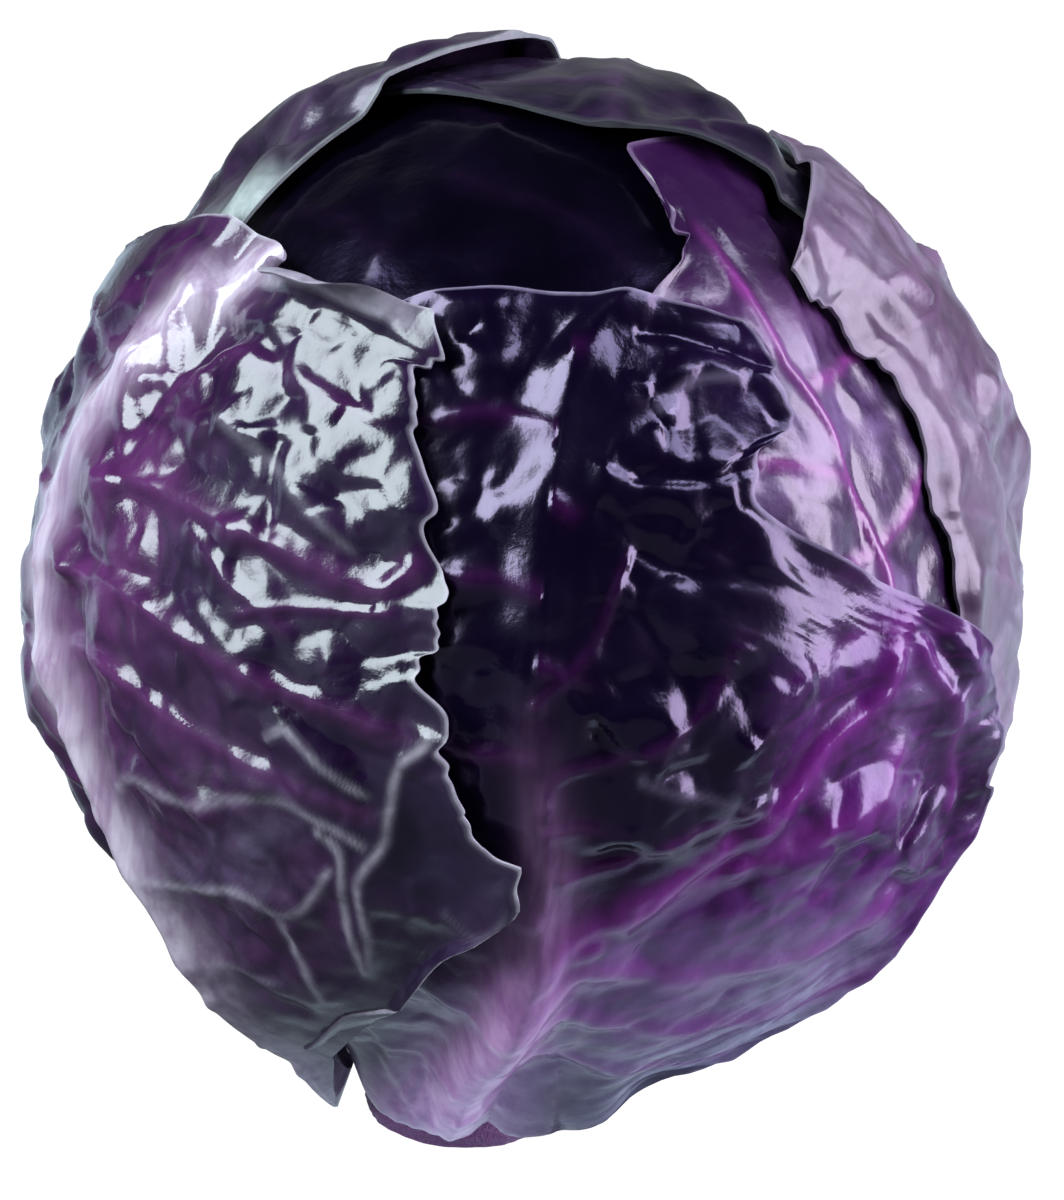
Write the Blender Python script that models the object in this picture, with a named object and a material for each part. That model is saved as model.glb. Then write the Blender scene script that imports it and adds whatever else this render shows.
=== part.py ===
"""Red cabbage head: a tight heart, seven leaves lapped round it, and the cut stalk that it stands on.

Units are metres, with +Z up and the front of the head towards -Y. The origin is the centre of the
stalk's cut face. A leaf is drawn in its own two angles, seen from the head's centre: alpha runs up
the leaf from the foot of the head, and beta runs across it. Its height is counted out from the heart.
"""
from dataclasses import dataclass

import bmesh
import bpy
import numpy as np

MM = 0.001

# Driving sizes of the head, in millimetres
CENTRE_HEIGHT = 83.5
HEART_HALF_WIDTH = 68.5
HEART_CROWN = 7.5
HEART_HIP = 1.0
HEART_FOOT = 2.5
HEART_SHIFT = 1.5
HEART_LEAN = -2.0
HEART_SLACK = 0.5
LEAF_STANDOFF = 8.0
LEAF_RADIUS = HEART_HALF_WIDTH + LEAF_STANDOFF
FIT_GAP = 0.6

# The stalk, in millimetres. It swells a little halfway up, and its outline has three soft corners.
STALK_RADIUS = 13.5
STALK_BEVEL = 1.2
STALK_SWELL = 0.3
STALK_SWELL_SHARE = 0.55
STALK_NECK = -0.6
STALK_CORNERS = 3
STALK_CORNER_DEPTH = 0.4
STALK_CORNER_TURN = 0.5

# A leaf's make, in millimetres
BLADE = 0.9
VEIN_HEIGHT = 0.7
PUCKER = 0.9
PUCKER_PITCH = 26.0
RIB_SIGMA_BUTT = 7.0
RIB_SIGMA_TIP = 2.5
RIB_DRAPE = 7.0
DRAPE_FLAT = 5.0
DRAPE_FADE = 16.0

# Zones of a leaf, as shares of its length or of its half width
RIM_BAND = 0.16
BUTT_ZONE = 0.15
SMOOTH_BUTT = 0.3
SMOOTH_RIB = 0.2
SMOOTH_RIM = 0.2
EVEN_BUTT = 0.2
VEIN_ENDS = 0.05
SEARCH_MARGIN = 0.01

# How values change along and across a leaf
SIDE_EASING = 1.5
VEIN_CLIMB = 0.6
VEIN_FADE = 0.7
RIB_TIP_SHARE = 0.12
RIB_TAPER = 2.2
RIM_WAVE = 0.3
TIP_WAVE = 0.2
TIP_WAVE_TURNS = 5.0
SLOW_RIPPLE = 33.0
FAST_RIPPLE = 57.0
FAST_RIPPLE_SHARE = 0.7
BLISTER_LEVEL = 0.5
BLISTER_SWING = 0.4
SECOND_BLISTER = 0.6
SECOND_BLISTER_PACE = 1.3

# Grids of the pieces, and their shading
VEIN_PAIRS = 7
ROWS_PER_VEIN = 3
COLUMNS = 18
COLUMN_CROWDING = 1.3
HEART_SEGMENTS = 28
HEART_RINGS = 20
STALK_SIDES = 28
SEARCH_STEPS = 10
SHARP_ANGLE = 50.0


@dataclass(frozen=True)
class Leaf:
    """Plan of one leaf. Margins and midrib give beta in degrees, evenly spaced from butt to tip."""

    name: str
    azimuth: float
    butt: float
    tips: tuple
    rises: tuple
    left: tuple
    rib: tuple
    right: tuple
    rib_height: float
    lifts: tuple
    waves: float
    raggedness: float
    phase: float
    colour: tuple


# From the innermost leaf to the outermost. Azimuth turns from the front towards +X. tips are alpha at
# the left margin, midrib and right margin. rises are how far the butt's edge climbs to each margin.
# lifts are how far the left margin, the tip and the right margin stand off, in millimetres. waves
# counts the waves along a margin, and raggedness is how far the margin strays, in degrees.
LEAVES = (
    Leaf("leaf_inner_left", -35, 19, (160, 188, 168), (4, 4),
         (-9, -38, -54, -58, -58, -56, -50, -42, -26), (0, 0, 0, 1, 2, 2, 2, 1, 0),
         (9, 38, 54, 60, 62, 60, 55, 46, 30), 2.0, (0, 0.4, 0.4), 3, 0.5, 0.4, (0.045, 0.022, 0.07)),
    Leaf("leaf_inner_right", 55, 17, (150, 154, 148), (4, 4),
         (-9, -36, -48, -50, -49, -46, -40, -31, -18), (0, 0, -1, -2, -4, -6, -9, -13, -15),
         (9, 40, 54, 58, 58, 54, 46, 34, 14), 2.0, (0.8, 0.6, 0), 3, 0.8, 1.7, (0.17, 0.12, 0.30)),
    Leaf("leaf_back", 175, 12, (199, 199, 188), (4, 4),
         (-11, -40, -55, -60, -61, -59, -55, -48, -37), (0, 0, 1, 2, 2, 1, 0, -2, -4),
         (11, 40, 54, 58, 58, 55, 48, 36, 22), 5.0, (0.8, 0.9, 0.8), 4, 0.9, 2.9, (0.10, 0.06, 0.14)),
    Leaf("leaf_right", 108, 12, (164, 158, 140), (6, 4),
         (-11, -31, -36, -43, -46, -42, -38, -38, -36), (0, 1, 2, 3, 4, 5, 5, 4, 2),
         (11, 42, 58, 62, 62, 58, 50, 40, 26), 5.0, (1.4, 0.4, 0.4), 5, 0.9, 4.2, (0.12, 0.07, 0.18)),
    Leaf("leaf_front", -2, 12, (131, 136, 137), (4, 6),
         (-11, -36, -50, -51, -49, -46, -41, -34, -22), (0, 2, 5, 8, 8, 5, 4, 3, 3),
         (13, 34, 52, 61, 65, 66, 67, 66, 65, 63, 58, 28, 25, 26, 26, 24, 20),
         9.5, (0, 0.8, 1.0), 6, 0.8, 5.3, (0.10, 0.045, 0.17)),
    Leaf("leaf_back_left", -130, 12, (160, 172, 157), (4, 4),
         (-11, -40, -56, -60, -60, -57, -50, -38, -22), (0, 0, -1, -2, -2, 0, 2, 3, 4),
         (11, 40, 55, 60, 61, 60, 57, 53, 46), 5.0, (0.6, 1.0, 1.2), 5, 0.8, 0.9, (0.12, 0.09, 0.17)),
    Leaf("leaf_left", -68, 12, (126, 136, 143), (4, 12),
         (-12, -38, -52, -60, -61, -58, -50, -36, -14), (-2, 9, 16, 15, 7, 0, 2, 9, 15),
         (9, 58, 63, 61, 59, 57, 49, 42, 39), 6.0, (0.6, 2.2, 1.6), 7, 1.0, 2.2, (0.22, 0.14, 0.27)),
)
HEART_COLOUR = (0.035, 0.02, 0.06)
STALK_COLOUR = (0.62, 0.52, 0.58)
HEART_ROUGHNESS = 0.35
LEAF_ROUGHNESS = 0.33
STALK_ROUGHNESS = 0.6


def smooth_step(x):
    """Eases from 0 to 1 as x goes from 0 to 1."""
    x = np.clip(x, 0.0, 1.0)
    return x * x * (3.0 - 2.0 * x)


def curve(stations, s):
    """Reads a smooth curve through evenly spaced values, at s from 0 to 1."""
    inner = np.asarray(stations, float)
    values = np.concatenate([[2 * inner[0] - inner[1]], inner, [2 * inner[-1] - inner[-2]]])
    x = np.clip(s, 0.0, 1.0) * (len(inner) - 1)
    i = np.minimum(x.astype(int), len(inner) - 2)
    f = x - i
    before, here, after, beyond = values[i], values[i + 1], values[i + 2], values[i + 3]
    slope = after - before
    bend = 2 * before - 5 * here + 4 * after - beyond
    twist = 3 * here - before - 3 * after + beyond
    return 0.5 * (2 * here + slope * f + bend * f ** 2 + twist * f ** 3)


def heart_radius(direction):
    """Distance from the head's centre to the heart's skin, for unit directions."""
    across = direction[..., 0]
    up = direction[..., 2]
    upper = HEART_CROWN * up ** 2
    lower = HEART_HIP * up ** 2 - HEART_FOOT * up ** 4
    sideways = across * (HEART_SHIFT + HEART_LEAN * up)
    return HEART_HALF_WIDTH + np.where(up > 0, upper, lower) + sideways


def leaf_axes(leaf):
    """Directions of the leaf's azimuth and of its right side."""
    phi = np.radians(leaf.azimuth)
    outward = np.array([np.sin(phi), -np.cos(phi), 0.0])
    sideways = np.array([np.cos(phi), np.sin(phi), 0.0])
    return outward, sideways


def side_value(t, left, middle, right):
    """Blends a value from the midrib (t = 0) to the left (t = -1) or right (t = 1) margin."""
    edge = np.where(t < 0, left, right)
    return middle + (edge - middle) * np.abs(t) ** SIDE_EASING


def margin(leaf, s, t):
    """Beta of the margin on the side of t, with its ragged edge."""
    edge = np.where(t < 0, curve(leaf.left, s), curve(leaf.right, s))
    slow = np.sin(SLOW_RIPPLE * s + leaf.phase)
    fast = np.sin(FAST_RIPPLE * s + 2.0 * leaf.phase)
    return edge + leaf.raggedness * (slow + FAST_RIPPLE_SHARE * fast) * smooth_step(s / EVEN_BUTT)


def spread(leaf, s, t):
    """Beta at a place on the leaf, in degrees."""
    rib = curve(leaf.rib, s)
    return rib + np.abs(t) * (margin(leaf, s, t) - rib)


def ends_of(leaf, t):
    """Alpha of the butt's edge and of the tip's, and how far the side veins climb, at t."""
    low = side_value(t, leaf.butt + leaf.rises[0], leaf.butt, leaf.butt + leaf.rises[1])
    top = side_value(t, *leaf.tips)
    return low, top, VEIN_CLIMB * np.abs(t) ** SIDE_EASING


def direction_of(leaf, s, t):
    """Unit directions for places on the leaf: s runs from butt to tip and t from margin to margin."""
    low, top, climb = ends_of(leaf, t)
    alpha = np.radians(low + (top - low) * (s + climb * s * (1.0 - s)))
    beta = np.radians(spread(leaf, s, t))
    outward, sideways = leaf_axes(leaf)
    up = np.array([0.0, 0.0, 1.0])
    along = np.sin(alpha)[..., None] * outward - np.cos(alpha)[..., None] * up
    return np.cos(beta)[..., None] * along + np.sin(beta)[..., None] * sideways


def place_of(leaf, direction):
    """The s and t of a direction on a leaf, also past its outline, and its distance outside in mm."""
    outward, sideways = leaf_axes(leaf)
    alpha = np.degrees(np.arctan2(direction @ outward, -direction[..., 2]))
    alpha = np.mod(alpha + 90.0, 360.0) - 90.0
    beta = np.degrees(np.arcsin(np.clip(direction @ sideways, -1.0, 1.0)))
    t = np.zeros_like(alpha)
    for _ in range(SEARCH_STEPS):
        low, top, climb = ends_of(leaf, np.clip(t, -1.0, 1.0))
        x = (alpha - low) / (top - low)
        root = np.sqrt(np.maximum((1.0 + climb) ** 2 - 4.0 * climb * x, SEARCH_MARGIN))
        s = 2.0 * x / (1.0 + climb + root)
        rib = curve(leaf.rib, s)
        across = beta - rib
        half = np.abs(margin(leaf, np.clip(s, 0.0, 1.0), across) - rib)
        t = 0.5 * t + 0.5 * across / half
    degree = np.radians(LEAF_RADIUS)
    beside = (np.abs(t) - 1.0) * half
    past = np.maximum(-s, s - 1.0) * (top - low) * np.cos(np.radians(beta))
    outside = np.hypot(np.maximum(beside, 0.0), np.maximum(past, 0.0)) * degree
    return s, t, outside


def rib_bulge(leaf, s, t, extra=0.0):
    """How far the midrib stands out from the blade. It is thick at the butt and fades to the tip."""
    s = np.clip(s, 0.0, 1.0)
    across = spread(leaf, s, t) - curve(leaf.rib, s)
    distance = np.radians(across) * LEAF_RADIUS
    sigma = RIB_SIGMA_TIP + (RIB_SIGMA_BUTT - RIB_SIGMA_TIP) * (1.0 - s) ** 2 + extra
    height = leaf.rib_height * (RIB_TIP_SHARE + (1.0 - RIB_TIP_SHARE) * (1.0 - s) ** RIB_TAPER)
    return height * np.exp(-(distance / sigma) ** 2)


def vein_fade(t):
    """Height of the side veins across the leaf, from 1 beside the midrib to less at the margin."""
    return 1.0 - VEIN_FADE * np.clip(np.abs(t), 0.0, 1.0) ** SIDE_EASING


def rim_lift(leaf, s, t):
    """How far the margin stands off what lies under it, with its waves."""
    s = np.clip(s, 0.0, 1.0)
    t = np.clip(t, -1.0, 1.0)
    side = smooth_step((np.abs(t) - 1.0 + RIM_BAND) / RIM_BAND)
    tip = smooth_step((s - 1.0 + RIM_BAND) / RIM_BAND)
    wave = 1.0 - RIM_WAVE + RIM_WAVE * np.sin(2.0 * np.pi * leaf.waves * s + leaf.phase)
    side_amount = np.where(t < 0, leaf.lifts[0], leaf.lifts[2])
    tip_wave = 1.0 - TIP_WAVE + TIP_WAVE * np.sin(TIP_WAVE_TURNS * t + leaf.phase)
    return np.maximum(side * side_amount * wave, tip * leaf.lifts[1] * tip_wave)


def pucker(leaf, s, t, direction):
    """Blisters of the blade between its veins, never below the leaf's own seat."""
    turns = 2.0 * np.pi * HEART_HALF_WIDTH / PUCKER_PITCH
    x, y, z = (direction[..., i] * turns for i in range(3))
    waves = np.sin(x + leaf.phase) * np.sin(y + 2.0 * leaf.phase)
    waves += SECOND_BLISTER * np.sin(SECOND_BLISTER_PACE * z - x + leaf.phase)
    beside_rib = smooth_step(np.abs(t) / SMOOTH_RIB)
    inside_rim = smooth_step((1.0 - np.abs(t)) / SMOOTH_RIM)
    calm = beside_rib * inside_rim * smooth_step(s / SMOOTH_BUTT)
    return PUCKER * calm * np.clip(BLISTER_LEVEL + BLISTER_SWING * waves, 0.0, 1.0)


def seat(direction, count):
    """Height above the heart at which the leaf with this place in the order lies."""
    level = np.zeros(direction.shape[:-1])
    for leaf in LEAVES[:count]:
        s, t, outside = place_of(leaf, direction)
        s_in = np.clip(s, 0.0, 1.0)
        t_in = np.clip(t, -1.0, 1.0)
        relief = (VEIN_HEIGHT * vein_fade(t_in) + PUCKER) * smooth_step(s_in / BUTT_ZONE)
        body = BLADE + relief + rib_bulge(leaf, s_in, t, RIB_DRAPE)
        drape = 1.0 - smooth_step((outside - DRAPE_FLAT) / DRAPE_FADE)
        level = level + drape * (FIT_GAP + body + rim_lift(leaf, s_in, t_in))
    return level


def leaf_faces(order, s, t):
    """Inner and outer points of a leaf, in millimetres, for a grid of s and t."""
    leaf = LEAVES[order]
    direction = direction_of(leaf, s, t)
    inner = heart_radius(direction) + seat(direction, order) + FIT_GAP
    inner = inner + rim_lift(leaf, s, t) + pucker(leaf, s, t, direction)
    on_vein = np.isclose(VEIN_PAIRS * s, np.round(VEIN_PAIRS * s))
    clear_of_ends = (s > VEIN_ENDS) & (s < 1.0 - VEIN_ENDS)
    vein = VEIN_HEIGHT * vein_fade(t) * (on_vein & clear_of_ends)
    outer = inner + BLADE + vein + rib_bulge(leaf, s, t)
    centre = np.array([0.0, 0.0, CENTRE_HEIGHT])
    return centre + direction * inner[..., None], centre + direction * outer[..., None]


def add_material(name, colour, roughness):
    """Makes the Principled material of one piece."""
    material = bpy.data.materials.new(name)
    material.use_nodes = True
    shader = material.node_tree.nodes["Principled BSDF"]
    shader.inputs["Base Color"].default_value = (*colour, 1.0)
    shader.inputs["Roughness"].default_value = roughness
    shader.inputs["Metallic"].default_value = 0.0
    return material


def add_object(name, mesh_data, material):
    """Puts a finished bmesh into the scene as one named piece."""
    mesh = bpy.data.meshes.new(name)
    mesh_data.to_mesh(mesh)
    mesh_data.free()
    mesh.shade_smooth()
    mesh.set_sharp_from_angle(angle=np.radians(SHARP_ANGLE))
    piece = bpy.data.objects.new(name, mesh)
    piece.data.materials.append(material)
    bpy.context.scene.collection.objects.link(piece)
    return piece


def build_heart():
    """The ball of inner leaves: a sphere whose points are moved out to the heart's skin."""
    ball = bmesh.new()
    bmesh.ops.create_uvsphere(ball, u_segments=HEART_SEGMENTS, v_segments=HEART_RINGS, radius=1.0)
    for vertex in ball.verts:
        direction = np.array(vertex.co.normalized())
        point = direction * (float(heart_radius(direction)) - HEART_SLACK)
        vertex.co = (point + np.array([0.0, 0.0, CENTRE_HEIGHT])) * MM
    bmesh.ops.triangulate(ball, faces=ball.faces)
    return add_object("heart", ball, add_material("heart_leaf", HEART_COLOUR, HEART_ROUGHNESS))


def build_stalk():
    """The cut stump: rings of points from its bevelled cut edge up to just under the heart."""
    underside = float(heart_radius(np.array([0.0, 0.0, -1.0])))
    top = CENTRE_HEIGHT - underside - FIT_GAP
    rings = ((0.0, -STALK_BEVEL), (STALK_BEVEL, 0.0), (STALK_SWELL_SHARE * top, STALK_SWELL),
             (top, STALK_NECK))
    stump = bmesh.new()
    levels = []
    for height, swell in rings:
        ring = []
        for i in range(STALK_SIDES):
            angle = 2.0 * np.pi * i / STALK_SIDES
            corner = STALK_CORNER_DEPTH * np.sin(STALK_CORNERS * angle + STALK_CORNER_TURN)
            radius = STALK_RADIUS + swell + corner
            point = (radius * np.cos(angle), radius * np.sin(angle), height)
            ring.append(stump.verts.new([value * MM for value in point]))
        levels.append(ring)
    stump.faces.new(reversed(levels[0]))
    stump.faces.new(levels[-1])
    for lower, upper in zip(levels, levels[1:]):
        for i in range(STALK_SIDES):
            j = (i + 1) % STALK_SIDES
            stump.faces.new((lower[i], lower[j], upper[j], upper[i]))
    return add_object("stalk", stump, add_material("stalk_flesh", STALK_COLOUR, STALK_ROUGHNESS))


def build_leaf(order):
    """One leaf: a grid laid over its outline, split alike on both faces and closed at its margin."""
    leaf = LEAVES[order]
    spacing = np.linspace(-1.0, 1.0, COLUMNS + 1)
    across = np.sign(spacing) * np.abs(spacing) ** COLUMN_CROWDING
    along = np.linspace(0.0, 1.0, VEIN_PAIRS * ROWS_PER_VEIN + 1)
    halfway = 0.5 * (along[:2] + along[1:3])
    along = np.insert(along, [1, 2], halfway)
    s, t = np.meshgrid(along, across, indexing="ij")
    inner, outer = leaf_faces(order, s, t)
    blade = bmesh.new()
    faces = {}
    for side, points in (("inner", inner), ("outer", outer)):
        faces[side] = [[blade.verts.new(point * MM) for point in row] for row in points]
    rows = len(along) - 1
    for i in range(rows):
        for j in range(COLUMNS):
            corners = ((i, j), (i, j + 1), (i + 1, j + 1), (i + 1, j))
            turned = j < COLUMNS // 2
            first = (0, 1, 3) if turned else (0, 1, 2)
            second = (1, 2, 3) if turned else (0, 2, 3)
            for triangle in (first, second):
                places = [corners[k] for k in triangle]
                blade.faces.new([faces["outer"][a][b] for a, b in places])
                blade.faces.new([faces["inner"][a][b] for a, b in reversed(places)])
    edge = [(0, j) for j in range(COLUMNS)] + [(i, COLUMNS) for i in range(rows)]
    edge += [(rows, j) for j in range(COLUMNS, 0, -1)] + [(i, 0) for i in range(rows, 0, -1)]
    for (a, b), (c, d) in zip(edge, edge[1:] + edge[:1]):
        outer_a, outer_c = faces["outer"][a][b], faces["outer"][c][d]
        inner_a, inner_c = faces["inner"][a][b], faces["inner"][c][d]
        blade.faces.new((inner_a, inner_c, outer_c))
        blade.faces.new((inner_a, outer_c, outer_a))
    bmesh.ops.recalc_face_normals(blade, faces=blade.faces)
    return add_object(leaf.name, blade, add_material(leaf.name + "_skin", leaf.colour, LEAF_ROUGHNESS))


def main():
    """Clears the scene and builds the stalk, the heart and the leaves from the inside out."""
    for old in list(bpy.data.objects):
        bpy.data.objects.remove(old, do_unlink=True)
    build_stalk()
    build_heart()
    for order in range(len(LEAVES)):
        build_leaf(order)


main()
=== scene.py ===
"""Looks of a red cabbage head: crumpled waxy leaves lapped round a tight heart, on a cut stalk.

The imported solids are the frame. Each leaf is drawn in the same two angles as its solid, seen from the
head's centre: alpha runs up the leaf from the foot of the head and beta runs across it. The fine
forms of the leaf, its veins, blisters, folds and torn margin, are laid over that plan. Sizes are in
millimetres until a mesh is finished.
"""
import logging
import math
from dataclasses import dataclass
from enum import Enum
from typing import ClassVar

import bmesh
import bpy
import numpy as np
from mathutils import Matrix, Vector
from mathutils.kdtree import KDTree


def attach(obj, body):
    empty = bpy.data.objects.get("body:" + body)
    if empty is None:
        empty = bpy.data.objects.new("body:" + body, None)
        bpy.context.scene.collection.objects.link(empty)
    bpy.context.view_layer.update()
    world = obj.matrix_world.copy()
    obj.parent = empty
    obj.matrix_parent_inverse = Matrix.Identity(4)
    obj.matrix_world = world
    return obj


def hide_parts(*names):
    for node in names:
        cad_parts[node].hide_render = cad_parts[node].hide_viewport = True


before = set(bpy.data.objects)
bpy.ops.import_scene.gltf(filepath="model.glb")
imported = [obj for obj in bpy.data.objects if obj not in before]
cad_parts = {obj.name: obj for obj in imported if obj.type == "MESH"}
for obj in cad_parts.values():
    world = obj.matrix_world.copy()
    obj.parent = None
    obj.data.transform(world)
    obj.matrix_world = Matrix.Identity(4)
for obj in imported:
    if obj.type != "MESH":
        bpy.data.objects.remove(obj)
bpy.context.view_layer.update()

LOG = logging.getLogger("cabbage")
MM = 0.001
SIDE_POWER = 1.5
FAR_AWAY = 99.0
SHARP_ANGLE = 48.0
WHITE = (1.0, 1.0, 1.0)
Colour = tuple[float, float, float]
Places = tuple[tuple[float, float], ...]
Triples = tuple[tuple[float, float, float], ...]
LILAC_BUTT: Colour = (0.26, 0.15, 0.30)
DOWN_RIGHT = (0.8, -0.3, -0.5)


class Slot(Enum):
    """Material slots of the record. Each leaf is given one, but its material is made from its own finish."""

    PURPLE = "leaf_purple"
    LILAC = "leaf_lilac"
    HEART = "heart_dark"
    STALK = "stalk_flesh"


def unit(x: np.ndarray) -> np.ndarray:
    """Keeps a number from 0 to 1."""
    return np.clip(x, 0.0, 1.0)


def smooth_step(x: np.ndarray) -> np.ndarray:
    """Eases from 0 to 1 as x goes from 0 to 1."""
    x = unit(x)
    return x * x * (3.0 - 2.0 * x)


def bell(distance: np.ndarray, sigma: float | np.ndarray) -> np.ndarray:
    """A rounded bump that is 1 at distance 0 and fades over about sigma."""
    return np.exp(-((distance / sigma) ** 2))


def curve(stations: tuple, s: np.ndarray) -> np.ndarray:
    """Reads a smooth curve through evenly spaced values.

    Args:
        stations: The values, from butt to tip.
        s: Where to read, from 0 to 1.

    Returns:
        The value at each s.
    """
    inner = np.asarray(stations, float)
    values = np.concatenate([[2 * inner[0] - inner[1]], inner, [2 * inner[-1] - inner[-2]]])
    x = unit(s) * (len(inner) - 1)
    i = np.minimum(x.astype(int), len(inner) - 2)
    f = x - i
    before, here, after, beyond = values[i], values[i + 1], values[i + 2], values[i + 3]
    slope = after - before
    bend = 2 * before - 5 * here + 4 * after - beyond
    twist = 3 * here - before - 3 * after + beyond
    return 0.5 * (2 * here + slope * f + bend * f**2 + twist * f**3)


def side_value(t: np.ndarray, left: float, middle: float, right: float) -> np.ndarray:
    """Blends a value from the midrib (t = 0) to the left (t = -1) or right (t = 1) margin."""
    edge = np.where(t < 0, left, right)
    return middle + (edge - middle) * np.abs(t) ** SIDE_POWER


def ripples(place: np.ndarray, pitch: float, phase: float) -> np.ndarray:
    """Slow, uneven waves through space, from about -1 to 1.

    Args:
        place: Points in millimetres.
        pitch: Length of a wave in millimetres.
        phase: Shifts the waves, so that no two leaves are alike.

    Returns:
        The height of the waves at each point.
    """
    x, y, z = (2.0 * np.pi / pitch * place[..., i] for i in range(3))
    first = np.sin(x + 1.7 * np.sin(0.6 * z + phase)) * np.cos(y + phase)
    second = np.sin(1.4 * z - 0.8 * y + 2.0 * phase + np.cos(0.9 * x))
    return 0.6 * first + 0.4 * second


def point_tree(points: np.ndarray) -> KDTree:
    """A tree that finds the nearest of some points."""
    tree = KDTree(len(points))
    for i, point in enumerate(points):
        tree.insert(point, i)
    tree.balance()
    return tree


def set_points(shape: bmesh.types.BMesh, points: np.ndarray) -> None:
    """Moves every point of a shape to its new place."""
    for vertex, point in zip(shape.verts, points):
        vertex.co = point


def show(name: str, data: bpy.types.ID) -> bpy.types.Object:
    """Puts a mesh, light or camera into the scene."""
    made = bpy.data.objects.new(name, data)
    bpy.context.scene.collection.objects.link(made)
    return made


@dataclass(frozen=True)
class HeadForm:
    """Sizes that the whole head shares, in millimetres."""

    centre_height: float = 83.5
    half_width: float = 68.5
    crown: float = 7.5
    hip: float = 1.0
    foot: float = 2.5
    shift: float = 1.5
    lean: float = -2.0
    slack: float = 0.5
    fit_gap: float = 0.6
    leaf_radius: float = 76.5

    def heart_radius(self, direction: np.ndarray) -> np.ndarray:
        """Distance from the head's centre to the heart's skin, for unit directions."""
        across, up = direction[..., 0], direction[..., 2]
        upper = self.crown * up**2
        lower = self.hip * up**2 - self.foot * up**4
        return self.half_width + np.where(up > 0, upper, lower) + across * (self.shift + self.lean * up)

    @property
    def degree(self) -> float:
        """Millimetres that one degree takes up at the leaf's radius."""
        return np.radians(self.leaf_radius)

    def point(self, direction: np.ndarray, radius: np.ndarray) -> np.ndarray:
        """Points at a distance from the head's centre, in metres."""
        centre = np.array([0.0, 0.0, self.centre_height])
        return (centre + direction * radius[..., None]) * MM


HEAD = HeadForm()


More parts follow.
